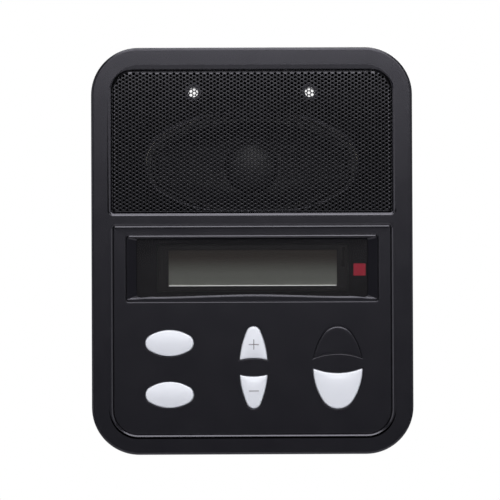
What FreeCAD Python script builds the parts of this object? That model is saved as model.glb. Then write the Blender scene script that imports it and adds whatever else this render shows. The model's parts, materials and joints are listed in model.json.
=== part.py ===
import FreeCAD, Part
import math
import os

# A wall intercom station: a black moulded front with a pierced steel grille, a
# two-line display, five push keys and an oval loudspeaker, open at the back,
# where it closes a box in the wall. Millimetres, X to the right, Z up, the
# wall plane at y = 0 and the front facing -Y. The origin is the middle of the
# rim that rests on the wall.

V = FreeCAD.Vector
ALONG_Y = V(0, 1, 0)

# Front moulding
body_width = 165.0
body_height = 209.0
body_depth = 17.0
corner_radius = 24.4
border_width = 4.6       # sloping band that runs round the front
border_drop = 0.4        # how far that band falls back
border_bevel = 1.6       # between that band and the side walls
wall = 2.5
front_wall = 2.8

# Grille recess, with the plate behind it that carries the loudspeaker
recess_width = 144.5
recess_low = 19.3
recess_high = 92.8
recess_corner_high = 11.0
recess_corner_low = 1.5
recess_depth = 5.0
tray_wall = 2.0
baffle_thickness = 2.5

# Pierced steel grille
grille_gap = 0.25
grille_sheet = 0.8
grille_sink = 0.5        # its face lies this far under the front
grille_bend = 0.8
hole_pitch = 12.7
hole_across = 10.7       # across the flats of a hole
hole_margin = 1.0        # plain sheet kept between the bend and the holes
tab_width = 7.0
tab_reach = 1.2          # how far a tab shows behind the plate
tab_slot_gap = 0.3
tab_high_x = 45.0
tab_low_x = 65.0

# Sound opening in the plate, an oval with short straight runs
sound_width = 109.0
sound_low = 21.3
sound_high = 70.3
sound_straight = 30.0

# Wall fixing: two sleeves for screws, reached with the grille taken off, and
# two hooks at the bottom edge
fixing_spacing = 60.0
fixing_z = 81.7
fixing_hole = 5.0
fixing_sleeve = 9.0      # across its flats
hook_x = 38.0
hook_width = 12.0
hook_thickness = 2.0
hook_reach = 6.0
hook_lip = 2.5
hook_root = 7.0

# Sunk key panel
panel_width = 143.5
panel_margin = 10.0      # from the lower end of the body
panel_low = panel_margin - body_height / 2
panel_high = 12.7
panel_corner_low = 13.0
panel_corner_high = 1.5
panel_sink = 0.7

# Display recess, its lens and the window behind the lens
display_width = 130.0
display_low = -26.2
display_high = 7.9
display_corner = 2.0
display_tray_wall = 2.0
lens_width = 119.0
lens_low = -23.7
lens_high = 6.6
lens_corner = 1.6
lens_thickness = 2.0
lens_sink = 3.4          # its face lies this far under the front
lens_gap = 0.15
lens_floor = 2.0
lens_edge = 0.6

# Display module: board, glass, light guide and tinned steel frame
module_x = 0.3
module_z = -8.8
module_board_width = 116.0
module_board_height = 37.0
module_frame_width = 98.0
module_frame_height = 24.0
module_frame_depth = 5.5
module_frame_sheet = 0.5
module_frame_gap = 0.4
view_width = 86.6
view_height = 18.3
glass_width = 95.0
glass_height = 22.0
glass_thickness = 2.4
module_gap = 0.2         # between the lens and the frame behind it
module_side_gap = 0.2    # between the frame and what it holds
module_hole_x = 54.5
module_hole_z = 14.5
chip_drop_radius = 7.0
chip_drop_height = 1.6
chip_drop_x = 22.0

# Red signal window beside the display, and the lamp behind it
signal_x = 55.3
signal_z = -9.8
signal_size = 6.1
signal_gap = 0.1
signal_rim = 1.1
signal_rim_thickness = 1.0
lamp_size = 5.0
lamp_height = 2.2

# Keys
key_steps = 6            # flat sides along each of the four arcs of a small key
key_gap = 0.3
key_proud = 1.9
key_edge = 0.8
key_roof = 2.2
key_rim = 1.5            # how far the rim that keeps a key in reaches past the key
key_rim_corner = 3.0
key_rim_thickness = 1.0
key_rest_gap = 0.1
key_post = 5.0
small_pocket_width = 15.0
small_pocket_height = 8.0
volume_pocket_width = 7.0
volume_pocket_height = 8.0
talk_pocket_width = 11.0
talk_pocket_height = 9.0
small_key_width = 24.5
small_key_height = 13.2
small_key_x = -42.6
source_key_z = -47.3
set_key_z = -73.8
volume_x = 0.5
volume_z = -59.9
volume_width = 14.3
volume_height = 41.9
talk_x = 43.7
talk_z = -60.1
talk_width = 25.1
talk_height = 42.0
volume_bar_z = -59.9     # the bar between two keys, which bulges in the middle
volume_bar_side = 3.9    # its half height at the sides
volume_bar_middle = 4.8
talk_bar_z = -58.0
talk_bar_side = 2.7
talk_bar_middle = 5.1
blank_gap = 0.15
blank_proud = 0.2
blank_edge = 0.3

# Rubber mat with one dome for each key
mat_sheet = 1.0
mat_width = 112.0
mat_low = -86.0
mat_high = -38.0
dome_base = 9.6
dome_top = 6.4
dome_height = 2.5
dome_skin = 0.7
dome_roof = 1.2
dome_gap = 0.1
volume_dome_offset = 11.6
talk_dome_offset = 12.5
mat_boss_gap = 0.6
dome_sides = 8

# Control board and what it carries
board_thickness = 1.6
board_front = -7.0
board_width = 132.0
board_margin = 9.5       # from the lower end of the body
board_low = board_margin - body_height / 2
board_high = -31.5
board_corner_low = 14.0
board_corner_high = 3.0
board_screw_side_x = 60.0
board_screw_high_z = -36.5
board_screw_margin = 7.0
board_screw_low_z = board_low + board_screw_margin
board_screw_mid_x = 21.0
boss_across = 7.0
boss_sides = 8

# Screws with six-sided heads. Their threads, and the holes that those cut or pass, are left six-sided too
screw_across = 2.6
screw_head_across = 5.5
screw_head = 1.8
board_screw_bite = 6.0   # how far each kind goes into its boss
module_screw_bite = 4.0
frame_screw_bite = 3.9
pilot_gap = 0.05
pilot_spare = 0.4
screw_clearance = 0.3

# Terminal block, parts on the board, ribbon and speaker plug
terminal_ways = 6
terminal_pitch = 5.08
terminal_depth = 9.0
terminal_height = 10.0
terminal_x = -18.0
terminal_margin = 11.0   # from the lower edge of the board
terminal_z = board_low + terminal_margin
terminal_screw_across = 3.2
terminal_well_gap = 0.4
terminal_well_depth = 3.5
terminal_screw_height = 2.2
terminal_step = 4.0
terminal_entry_width = 3.0
terminal_entry_low = 1.5
terminal_entry_height = 3.5
capacitor_radius = 4.0
capacitor_height = 9.0
capacitor_sides = 12
capacitor_edge = 0.4
capacitor_pitch = 11.0
capacitor_count = 3
capacitor_x = 18.0
capacitor_margin = 9.0
capacitor_z = board_low + capacitor_margin
controller_width = 14.0
controller_height = 14.0
controller_thickness = 2.2
controller_x = -8.0
controller_z = -55.0
amplifier_width = 20.0
amplifier_thickness = 4.0
amplifier_height = 11.0
amplifier_x = 42.0
amplifier_z = -52.0
amplifier_notch = 3.4
amplifier_notch_depth = 2.6
ribbon_width = 40.0
ribbon_thickness = 0.5
ribbon_foot = 3.0
ribbon_arch = 4.0
socket_width = 8.0
socket_depth = 6.0
socket_height = 6.0
socket_x = -52.0
socket_z = -42.0
plug_height = 3.5
plug_shrink = 0.4
lead_diameter = 1.5
lead_spacing = 2.5
lead_rise = 20.0         # from the plug up to the first bend
lead_fall = 16.0         # from the last bend up to the lugs
lead_lift = 0.9          # how far the leads lie off the terminal strip

# Oval loudspeaker, with a magnet inside a steel pot
driver_z = 44.0
driver_seat = -7.0       # plane on which its gasket lies
gasket_thickness = 1.0
gasket_width = 3.0
frame_width = 120.0
frame_height = 64.0
frame_corner = 18.0
frame_sheet = 1.0
frame_opening_width = 104.0
frame_opening_height = 51.0
frame_wall = 0.8
frame_screw_x = 50.0
frame_screw_z = 24.0
frame_window_angle = 26.0
frame_window_first = 7.0
frame_window_inner = 29.0
frame_window_outer = 41.0
oval_fullness = 0.65     # how blunt the ends of an oval are: 1 would follow an ellipse's tip
driver_steps = 5         # flat sides along each of the four arcs of a driver outline
surround_run = 3.5       # from the frame's opening in to the cone
surround_land = 2.5
surround_gap = 0.5       # between the surround's land and the gasket round it
surround_skin = 0.5
surround_roll = 1.5
surround_crest = 0.7
cone_width = frame_opening_width - 2 * surround_run
cone_skin = 0.6
cone_depth = 13.0
neck_radius = 14.5
coil_outer_radius = 13.3
coil_inner_radius = 12.5
coil_length = 14.0
coil_fit = 0.1
cap_radius = 14.0
cap_mid_radius = 9.0
cap_top_radius = 4.0
cap_rise = 4.5
cap_shoulder = 3.2
spider_depth = 15.0
spider_skin = 0.6
spider_outer_radius = 25.6
spider_wave = 0.9
ledge_radius = 26.0
cup_radius = 22.0
cup_depth = 4.0
cup_hole_radius = 15.0
pole_radius = 12.0
pole_thickness = 4.0
magnet_thickness = 5.0
pot_radius = 18.5
pot_bore_radius = 13.8
pot_floor = 3.0
strip_width = 14.0
strip_height = 6.0
strip_thickness = 1.2
strip_x = -30.0
strip_edge = 0.5
lug_width = 2.4
lug_thickness = 1.0
lug_height = 4.5
lug_spacing = 6.0

# Stiffening ribs inside the side walls
rib_thickness = 1.5
rib_reach = 4.0
rib_pitch = 50.0
rib_back = -3.0

# Planes that follow from the sizes above
front_y = -body_depth
inner_front_y = front_y + front_wall
boss_root_y = inner_front_y - front_wall / 4
panel_y = front_y + panel_sink
floor_y = front_y + recess_depth
baffle_back_y = floor_y + baffle_thickness
lens_y = front_y + lens_sink
lens_seat_y = lens_y + lens_thickness
lens_floor_back_y = lens_seat_y + lens_floor
module_front_y = lens_seat_y + module_gap
module_board_y = module_front_y + module_frame_depth
module_board_back_y = module_board_y + board_thickness
board_back_y = board_front + board_thickness
key_top_y = panel_y - key_proud
rim_y = inner_front_y + key_rest_gap
dome_top_y = board_front - mat_sheet - dome_height
socket_back_y = board_back_y + socket_height
frame_front_y = driver_seat + gasket_thickness
frame_back_y = frame_front_y + frame_sheet
neck_y = frame_front_y + cone_depth
spider_y = frame_front_y + spider_depth
ledge_y = spider_y + spider_skin
cup_y = ledge_y + cup_depth
pot_y = cup_y + frame_wall
pole_back_y = pot_y + pole_thickness
magnet_back_y = pole_back_y + magnet_thickness
pot_back_y = magnet_back_y + pot_floor


# Outlines, all in planes square to Y

def rect_wire(y, x, low, high, width, r_low, r_high, grow=0.0):
    """A rectangle with round corners, grown all round by an offset."""
    left, right = x - width / 2 - grow, x + width / 2 + grow
    low, high = low - grow, high + grow
    r_low, r_high = r_low + grow, r_high + grow
    corners = ((right, high, r_high, 0), (left, high, r_high, 90),
               (left, low, r_low, 180), (right, low, r_low, 270))
    points = []
    for cx, cz, r, start in corners:
        ox = cx - math.copysign(r, cx - x)
        oz = cz - math.copysign(r, cz - (low + high) / 2)
        for turn in (0, 45, 90):
            a = math.radians(start + turn)
            points.append(V(ox + r * math.cos(a), y, oz + r * math.sin(a)))
    edges = []
    for k in range(4):
        a, b, c = points[3 * k: 3 * k + 3]
        edges.append(Part.Arc(a, b, c).toShape())
        edges.append(Part.LineSegment(c, points[(3 * k + 3) % 12]).toShape())
    return Part.Wire(edges)


def body_wire(y, inset):
    return rect_wire(y, 0, -body_height / 2, body_height / 2, body_width,
                     corner_radius, corner_radius, -inset)


def recess_wire(y, grow=0.0):
    return rect_wire(y, 0, recess_low, recess_high, recess_width,
                     recess_corner_low, recess_corner_high, grow)


def panel_wire(y, grow=0.0):
    return rect_wire(y, 0, panel_low, panel_high, panel_width,
                     panel_corner_low, panel_corner_high, grow)


def display_wire(y, grow=0.0):
    return rect_wire(y, 0, display_low, display_high, display_width,
                     display_corner, display_corner, grow)


def lens_wire(y, grow=0.0):
    return rect_wire(y, 0, lens_low, lens_high, lens_width, lens_corner, lens_corner, grow)


def frame_wire(y):
    return rect_wire(y, 0, driver_z - frame_height / 2, driver_z + frame_height / 2, frame_width,
                     frame_corner, frame_corner)


def oval_arcs(width, height, grow=0.0):
    """Four tangent arcs close to an ellipse: the centre, radius, first angle and sweep of each."""
    a, b = max(width, height) / 2, min(width, height) / 2
    tip = b * (b / a) ** oval_fullness
    side = (a ** 2 - 2 * a * tip + b ** 2) / (2 * (b - tip))
    turn = math.atan2(side - b, a - tip)
    rest = math.pi - 2 * turn
    return [(a - tip, 0, tip + grow, -turn, 2 * turn),
            (0, b - side, side + grow, turn, rest),
            (tip - a, 0, tip + grow, math.pi - turn, 2 * turn),
            (0, side - b, side + grow, math.pi + turn, rest)]


def oval_wire(y, x, z, width, height, grow=0.0):
    edges = []
    for along, across, radius, start, sweep in oval_arcs(width, height, grow):
        points = []
        for share in (0, 0.5, 1):
            u = along + radius * math.cos(start + share * sweep)
            v = across + radius * math.sin(start + share * sweep)
            points.append(V(x - v, y, z + u) if height > width else V(x + u, y, z + v))
        edges.append(Part.Arc(*points).toShape())
    return Part.Wire(edges)


def polygon(y, x, z, across, sides):
    """The corners of a regular polygon, given the distance across its flats."""
    corner = across / 2 / math.cos(math.pi / sides)
    turns = [2 * math.pi * k / sides for k in range(sides)]
    return [V(x + corner * math.cos(a), y, z + corner * math.sin(a)) for a in turns]


def oval_corners(width, height, grow, steps, circle=None):
    """Corners along an oval, or along a circle at the same angles, as distances along and across it."""
    corners = []
    for along, across, radius, start, sweep in oval_arcs(width, height, grow):
        if circle:
            along, across, radius = 0, 0, circle
        for k in range(steps):
            a = start + sweep * k / steps
            corners.append((along + radius * math.cos(a), across + radius * math.sin(a)))
    return corners


def driver_outline(y, radius=None, grow=0.0):
    """Corners along the driver's oval opening, or along a circle, at the same angles in both."""
    corners = oval_corners(frame_opening_width, frame_opening_height, grow, driver_steps, radius)
    return [V(u, y, driver_z + v) for u, v in corners]


def key_outline(y, x, z, width, height):
    """Corners along the oval of a small key."""
    return [V(x + u, y, z + v) for u, v in oval_corners(width, height, 0, key_steps)]


# Solids

def prism(wire, length):
    return Part.Face(wire).extrude(V(0, length, 0))


def flat_face(points):
    return Part.Face(Part.makePolygon(points + points[:1]))


def flat_prism(points, length):
    return flat_face(points).extrude(V(0, length, 0))


def flat_sided(outlines, closed=False):
    """A solid with flat sides between like outlines, capped at both ends or closed to a ring."""
    faces = [] if closed else [flat_face(outlines[0]), flat_face(outlines[-1])]
    following = outlines[1:] + outlines[:1] if closed else outlines[1:]
    for this, other in zip(outlines, following):
        for k in range(len(this)):
            faces.append(flat_face([this[k - 1], this[k], other[k], other[k - 1]]))
    solid = Part.Solid(Part.Shell(faces))
    if solid.Volume < 0:
        solid.reverse()
    return solid


def rod(radius, y0, y1, x, z):
    return Part.makeCylinder(radius, y1 - y0, V(x, y0, z), ALONG_Y)


def block(x0, x1, y0, y1, z0, z1):
    return Part.makeBox(x1 - x0, y1 - y0, z1 - z0, V(x0, y0, z0))


def slab(y, length, x, z, width, height):
    return block(x - width / 2, x + width / 2, y, y + length, z - height / 2, z + height / 2)


def fuse(solids):
    return solids[0].multiFuse(solids[1:]).removeSplitter()


def edges_at(shape, y, slack=1e-4):
    return [e for e in shape.Edges if abs(e.BoundBox.YMin - y) < slack and abs(e.BoundBox.YMax - y) < slack]


def screw(x, y, z, through, bite):
    """A screw driven towards -Y, its head seated on the plane y."""
    head = flat_prism(polygon(y, x, z, screw_head_across, 6), screw_head)
    return fuse([head, flat_prism(polygon(y, x, z, screw_across, 6), -through - bite)])


def screw_room(x, y, z, length, gap):
    """The hole for a screw's thread, from the plane y towards -Y."""
    return flat_prism(polygon(y, x, z, screw_across + 2 * gap, 6), -length)


def pilot(x, y, z, bite):
    return screw_room(x, y + 1, z, bite + pilot_spare + 1, pilot_gap)


def screw_holes(places, y, length):
    return [screw_room(x, y + length + 1, z, length + 2, screw_clearance) for x, z in places]


def boss(x, z, y0, y1, across=boss_across):
    return flat_prism(polygon(y0, x, z, across, boss_sides), y1 - y0)


def tangent_path(points, share=0.2):
    """Straight runs joined by tangent arcs, each as large as its two runs allow; returns its radii too."""
    edges, radii, last = [], [], points[0]
    for a, b, c in zip(points, points[1:], points[2:]):
        u, w = (a - b).normalize(), (c - b).normalize()
        half = (math.pi - u.getAngle(w)) / 2
        back = share * min((a - b).Length, (c - b).Length)
        radius = back / math.tan(half)
        start, end = b + u * back, b + w * back
        middle = b + (u + w).normalize() * (radius / math.cos(half) - radius)
        edges.append(Part.LineSegment(last, start).toShape())
        edges.append(Part.Arc(start, middle, end).toShape())
        radii.append(round(radius, 1))
        last = end
    edges.append(Part.LineSegment(last, points[-1]).toShape())
    return Part.Wire(edges), radii


# Places that more than one piece uses

def four_places(x, z, side, up):
    return [(x + sx * side, z + sz * up) for sx in (-1, 1) for sz in (-1, 1)]


def board_screw_places():
    places = [(side * board_screw_side_x, z) for side in (-1, 1)
              for z in (board_screw_low_z, board_screw_high_z)]
    return places + [(side * board_screw_mid_x, volume_z) for side in (-1, 1)]


def module_screw_places():
    return four_places(module_x, module_z, module_hole_x, module_hole_z)


def frame_screw_places():
    return four_places(0, driver_z, frame_screw_x, frame_screw_z)


def fixing_places():
    return [(side * fixing_spacing / 2, fixing_z) for side in (-1, 1)]


def grille_tabs():
    """The x and lowest z of each grille tab: two at the top edge, two at the bottom."""
    high = recess_high - grille_gap - grille_sheet
    low = recess_low + grille_gap
    return [(side * tab_high_x, high) for side in (-1, 1)] + [(side * tab_low_x, low) for side in (-1, 1)]


# Key shapes. Each form is a function of its start plane, its length and how far it is grown all round

def oval_form(x, z, width, height):
    def form(y, length, grow):
        return prism(oval_wire(y, x, z, width, height, grow), length)
    return form


def small_form(z):
    """A small oval key, whose sides are flat; the opening round it, which is grown, has round ones."""
    def form(y, length, grow):
        if grow:
            return oval_form(small_key_x, z, small_key_width, small_key_height)(y, length, grow)
        return flat_prism(key_outline(y, small_key_x, z, small_key_width, small_key_height), length)
    return form


def beyond_bar(y, length, x, z, width, side, middle, up, grow):
    """The space above the bar, or below it, up to an edge that bulges in the middle of the bar."""
    half, bulge, far = width / 2, middle - side, 0.7 * width
    radius = (half ** 2 + bulge ** 2) / (2 * bulge)
    crown = z + up * (middle - grow)
    end = crown - up * (radius - math.sqrt(radius ** 2 - far ** 2))
    outer = z + up * 2 * (width + talk_height)
    a, b, c = V(x - far, y, end), V(x, y, crown), V(x + far, y, end)
    d, e = V(x + far, y, outer), V(x - far, y, outer)
    edges = [Part.Arc(a, b, c).toShape(), Part.LineSegment(c, d).toShape(),
             Part.LineSegment(d, e).toShape(), Part.LineSegment(e, a).toShape()]
    return prism(Part.Wire(edges), length)


def cut_form(x, z, width, height, bar_z, side, middle, up):
    """An oval of which only the part above or below the bar is kept."""
    whole = oval_form(x, z, width, height)

    def form(y, length, grow):
        return whole(y, length, grow).common(beyond_bar(y, length, x, bar_z, width, side, middle, up, grow))
    return form


def volume_form(up):
    return cut_form(volume_x, volume_z, volume_width, volume_height, volume_bar_z,
                    volume_bar_side, volume_bar_middle, up)


def talk_form(up):
    return cut_form(talk_x, talk_z, talk_width, talk_height, talk_bar_z, talk_bar_side, talk_bar_middle, up)


small_pocket = (small_pocket_width, small_pocket_height)
volume_pocket = (volume_pocket_width, volume_pocket_height)
talk_pocket = (talk_pocket_width, talk_pocket_height)

# Every key with the place of its post and the size of the pocket round it
keys = {
    "source_key": (small_form(source_key_z), small_key_x, source_key_z, small_pocket),
    "set_key": (small_form(set_key_z), small_key_x, set_key_z, small_pocket),
    "volume_up_key": (volume_form(1), volume_x, volume_z + volume_dome_offset, volume_pocket),
    "volume_down_key": (volume_form(-1), volume_x, volume_z - volume_dome_offset, volume_pocket),
    "talk_key": (talk_form(-1), talk_x, talk_z - talk_dome_offset, talk_pocket),
}


def rim_block(form, y):
    """A plate with cut corners that reaches past a form on all sides."""
    box = form(y, key_rim_thickness, key_rim).BoundBox
    cut = key_rim_corner
    x0, x1, z0, z1 = box.XMin, box.XMax, box.ZMin, box.ZMax
    corners = [(x0 + cut, z0), (x1 - cut, z0), (x1, z0 + cut), (x1, z1 - cut),
               (x1 - cut, z1), (x0 + cut, z1), (x0, z1 - cut), (x0, z0 + cut)]
    return flat_prism([V(x, y, z) for x, z in corners], key_rim_thickness)


def push_key(form, post_x, post_z, pocket):
    """A cap with a bevelled edge, a rim that keeps it in, and a post that stands on its dome."""
    cap = form(key_top_y, rim_y - key_top_y, 0.0)
    cap = cap.makeChamfer(key_edge, edges_at(cap, key_top_y))
    roof_y, back_y = key_top_y + key_roof, rim_y + key_rim_thickness
    room = slab(roof_y, back_y - roof_y + 1, post_x, post_z, *pocket)
    post = slab(roof_y, dome_top_y - dome_gap - roof_y, post_x, post_z, key_post, key_post)
    return fuse([cap.fuse(rim_block(form, rim_y)).cut(room), post])


def blank_insert():
    """The fixed black piece that fills the upper half of the talk oval."""
    top_y = panel_y - blank_proud
    form = talk_form(1)
    plug = form(top_y, inner_front_y - top_y, 0.0)
    plug = plug.makeChamfer(blank_edge, edges_at(plug, top_y))
    return fuse([plug, rim_block(form, inner_front_y)])


# The moulded front

def outer_form():
    form = prism(body_wire(front_y, 0), body_depth)
    form = form.makeChamfer(border_drop, border_width, edges_at(form, front_y))
    return form.makeChamfer(border_bevel, edges_at(form, front_y + border_drop))


def bosses():
    found = [boss(x, z, boss_root_y, board_front) for x, z in board_screw_places()]
    found += [boss(x, z, lens_seat_y + lens_floor / 2, module_board_y) for x, z in module_screw_places()]
    found += [boss(x, z, boss_root_y, frame_front_y) for x, z in frame_screw_places()]
    return found


def driver_ring(y0, y1, inner, outer):
    """An oval ring round the driver's opening, between two distances from it."""
    return flat_sided([driver_outline(y0, grow=inner), driver_outline(y0, grow=outer),
                       driver_outline(y1, grow=outer), driver_outline(y1, grow=inner)], True)


def speaker_collar():
    """An oval wall behind the plate that the speaker's gasket lies on."""
    inner = surround_land + surround_gap
    return driver_ring(boss_root_y, driver_seat, inner, inner + gasket_width)


def side_ribs():
    ribs = []
    inner = body_width / 2 - wall - rib_reach
    outer = body_width / 2 - wall / 2
    for k in range(-1, 2):
        z = k * rib_pitch
        for x0, x1 in ((inner, outer), (-outer, -inner)):
            ribs.append(block(x0, x1, boss_root_y, rib_back, z - rib_thickness / 2, z + rib_thickness / 2))
    return ribs


def wall_hooks():
    low = -body_height / 2 + wall / 2
    high = low + wall + hook_lip
    hooks = []
    for x in (-hook_x, hook_x):
        x0, x1 = x - hook_width / 2, x + hook_width / 2
        hooks.append(block(x0, x1, -hook_root, -hook_thickness / 2, low, high))
        hooks.append(block(x0, x1, -hook_root, hook_reach, high - hook_thickness, high))
        hooks.append(block(x0, x1, hook_reach - hook_thickness, hook_reach,
                           high - hook_thickness - hook_lip, high))
    return hooks


def sound_opening(y, length):
    """Two ovals side by side with a block between them, so that the opening has straight runs."""
    z, height = (sound_low + sound_high) / 2, sound_high - sound_low
    reach, width = sound_straight / 2, sound_width - sound_straight
    ovals = [prism(oval_wire(y, side * reach, z, width, height), length) for side in (-1, 1)]
    return fuse(ovals + [slab(y, length, 0, z, sound_straight, height)])


def front_housing():
    shell = outer_form().cut(prism(body_wire(inner_front_y, wall), -inner_front_y + 1))
    recess_start, panel_start = front_y + front_wall / 2, panel_y + (front_wall - panel_sink) / 2
    tray = prism(recess_wire(recess_start, tray_wall), baffle_back_y - recess_start)
    display_tray = prism(display_wire(panel_start, display_tray_wall), lens_floor_back_y - panel_start)
    sleeves = [boss(x, z, floor_y, 0, fixing_sleeve) for x, z in fixing_places()]
    added = [tray, display_tray, speaker_collar()] + sleeves + bosses() + side_ribs() + wall_hooks()
    body = shell.multiFuse(added)

    cuts = [prism(recess_wire(front_y - 1), recess_depth + 1),
            sound_opening(floor_y - 1, baffle_thickness + 2),
            prism(panel_wire(front_y - 1), panel_sink + 1),
            Part.makeLoft([display_wire(panel_y), lens_wire(lens_y)], True, True),
            prism(lens_wire(lens_y), lens_thickness),
            module_slab(lens_seat_y - 1, lens_floor + 2, module_frame_gap),
            signal_slab(lens_seat_y - 1, lens_floor + 2, signal_gap)]
    cuts += [rod(fixing_hole / 2, floor_y - 1, 1, x, z) for x, z in fixing_places()]
    for x, z in grille_tabs():
        reach = tab_width / 2 + tab_slot_gap
        cuts.append(block(x - reach, x + reach, floor_y - 1, baffle_back_y + 1,
                          z - tab_slot_gap, z + grille_sheet + tab_slot_gap))
    deep = front_wall + 2
    cuts += [form(front_y - 1, deep, key_gap) for form, x, z, pocket in keys.values()]
    cuts.append(talk_form(1)(front_y - 1, deep, blank_gap))
    cuts += [pilot(x, board_front, z, board_screw_bite) for x, z in board_screw_places()]
    cuts += [pilot(x, module_board_y, z, module_screw_bite) for x, z in module_screw_places()]
    cuts += [pilot(x, frame_front_y, z, frame_screw_bite) for x, z in frame_screw_places()]
    return body.cut(Part.makeCompound(cuts)).removeSplitter()


# The grille

def recess_room(x, z):
    """How far inside the outline of the grille recess a point lies."""
    room = min(recess_width / 2 - abs(x), recess_high - z, z - recess_low)
    cx, cz = recess_width / 2 - recess_corner_high, recess_high - recess_corner_high
    if abs(x) > cx and z > cz:
        return min(room, recess_corner_high - math.hypot(abs(x) - cx, z - cz))
    return room


def grille_hole_places():
    """A triangular pattern with its columns upright, where a whole hole fits inside the bend."""
    column, half_hole = hole_pitch * math.sqrt(3) / 2, hole_across / math.sqrt(3)
    need = grille_gap + grille_bend + hole_margin + half_hole
    middle = (recess_low + recess_high) / 2 + hole_pitch / 4
    across, along = int(recess_width / column), int((recess_high - recess_low) / hole_pitch)
    places = []
    for i in range(-across, across + 1):
        for j in range(-along, along + 1):
            x, z = i * column, middle + (j + i % 2 / 2) * hole_pitch
            if recess_room(x, z) >= need:
                places.append((x, z))
    return places


def speaker_grille():
    """A tray of pierced sheet: flat face, bent edge, and tabs that snap through the plate."""
    y = front_y + grille_sink
    tray = prism(recess_wire(y, -grille_gap), floor_y - y)
    tray = tray.makeChamfer(grille_bend, edges_at(tray, y))
    tray = tray.cut(prism(recess_wire(y + grille_sheet, -grille_gap - grille_sheet), floor_y - y))
    half, tab_end = tab_width / 2, baffle_back_y + tab_reach
    tabs = [block(x - half, x + half, floor_y - 1, tab_end, z, z + grille_sheet) for x, z in grille_tabs()]
    holes = [flat_prism(polygon(y - 1, x, z, hole_across, 6), grille_sheet + 2)
             for x, z in grille_hole_places()]
    return fuse([tray] + tabs).cut(Part.makeCompound(holes))


# Display

def module_slab(y, length, grow=0.0):
    return slab(y, length, module_x, module_z, module_frame_width + 2 * grow, module_frame_height + 2 * grow)


def signal_slab(y, length, grow=0.0):
    return slab(y, length, signal_x, signal_z, signal_size + 2 * grow, signal_size + 2 * grow)


def display_lens():
    lens = prism(lens_wire(lens_y, -lens_gap), lens_thickness)
    return lens.makeChamfer(lens_edge, edges_at(lens, lens_y))


def signal_window():
    body = signal_slab(lens_seat_y + module_gap, lens_floor - module_gap)
    return fuse([body, signal_slab(lens_floor_back_y, signal_rim_thickness, signal_rim)])


def module_frame():
    inner = module_slab(module_front_y + module_frame_sheet, module_frame_depth, -module_frame_sheet)
    view = slab(module_front_y - 1, module_frame_sheet + 2, module_x, module_z, view_width, view_height)
    return module_slab(module_front_y, module_frame_depth).cut(inner).cut(view)


def display_glass():
    y = module_front_y + module_frame_sheet
    return slab(y, glass_thickness, module_x, module_z, glass_width, glass_height)


def light_guide():
    y = module_front_y + module_frame_sheet + glass_thickness
    return module_slab(y, module_board_y - y, -module_frame_sheet - module_side_gap)


def module_board():
    board = slab(module_board_y, board_thickness, module_x, module_z, module_board_width, module_board_height)
    return board.cut(Part.makeCompound(screw_holes(module_screw_places(), module_board_y, board_thickness)))


def chip_drops():
    """Two low domes of black resin over the chips on the back of the display board."""
    drops = []
    for side in (-1, 1):
        x = module_x + side * chip_drop_x
        drops.append(flat_sided([polygon(module_board_back_y, x, module_z, 2 * chip_drop_radius, dome_sides),
                                 polygon(module_board_back_y + chip_drop_height, x, module_z,
                                         chip_drop_radius, dome_sides)]))
    return Part.makeCompound(drops)


def signal_lamp():
    return slab(module_board_y - lamp_height, lamp_height, signal_x, signal_z, lamp_size, lamp_size)


def board_ribbon():
    """A flat jumper that rises from one board and comes down on the other."""
    low, high = board_high, module_z - module_board_height / 2
    crest = max(module_board_back_y, board_back_y) + ribbon_arch
    top, foot = module_board_back_y, board_back_y
    line = [(top, high + 2 * ribbon_foot), (top, high + ribbon_foot), (crest, high), (crest, low),
            (foot, low - ribbon_foot), (foot, low - 2 * ribbon_foot)]
    under = [V(module_x - ribbon_width / 2, y, z) for y, z in line]
    over = [V(p.x, p.y + ribbon_thickness, p.z) for p in reversed(under)]
    return flat_face(under + over).extrude(V(ribbon_width, 0, 0))


# Key mat and control board

def dome_form(x, z, inset):
    """A many-sided dome under a key, or with an inset the hollow inside it."""
    floor_plane = board_front if inset else board_front - mat_sheet
    roof = dome_top_y + (dome_roof if inset else 0)
    return flat_sided([polygon(floor_plane, x, z, dome_base - 2 * inset, dome_sides),
                       polygon(roof, x, z, dome_top - 2 * inset, dome_sides)])


def keypad_mat():
    top_y = board_front - mat_sheet
    sheet = slab(top_y, mat_sheet, 0, (mat_low + mat_high) / 2, mat_width, mat_high - mat_low)
    domes = [dome_form(x, z, 0) for form, x, z, pocket in keys.values()]
    hollows = [dome_form(x, z, dome_skin) for form, x, z, pocket in keys.values()]
    across = boss_across + 2 * mat_boss_gap
    for side in (-1, 1):
        hollows.append(flat_prism(polygon(top_y - 1, side * board_screw_mid_x, volume_z, across, boss_sides),
                                  mat_sheet + 2))
    return fuse([sheet] + domes).cut(Part.makeCompound(hollows))


def control_board():
    outline = rect_wire(board_front, 0, board_low, board_high, board_width, board_corner_low,
                        board_corner_high)
    board = prism(outline, board_thickness)
    return board.cut(Part.makeCompound(screw_holes(board_screw_places(), board_front, board_thickness)))


def terminal_places():
    return [terminal_x + (k - (terminal_ways - 1) / 2) * terminal_pitch for k in range(terminal_ways)]


def terminal_block():
    """A row of wire entries along its lower side, with a screw well over each."""
    width, top_y = terminal_ways * terminal_pitch, board_back_y + terminal_height
    body = slab(board_back_y, terminal_height, terminal_x, terminal_z, width, terminal_depth)
    step = slab(top_y - terminal_step, terminal_step + 1, terminal_x, terminal_z + terminal_depth * 3 / 4,
                width + 2, terminal_depth)
    cuts = [step]
    well = terminal_screw_across + 2 * terminal_well_gap
    for x in terminal_places():
        cuts.append(slab(top_y - terminal_well_depth, terminal_well_depth + 1, x, terminal_z, well, well))
        cuts.append(slab(board_back_y + terminal_entry_low, terminal_entry_height, x,
                         terminal_z - terminal_depth / 2, terminal_entry_width, terminal_depth))
    return body.cut(Part.makeCompound(cuts))


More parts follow.
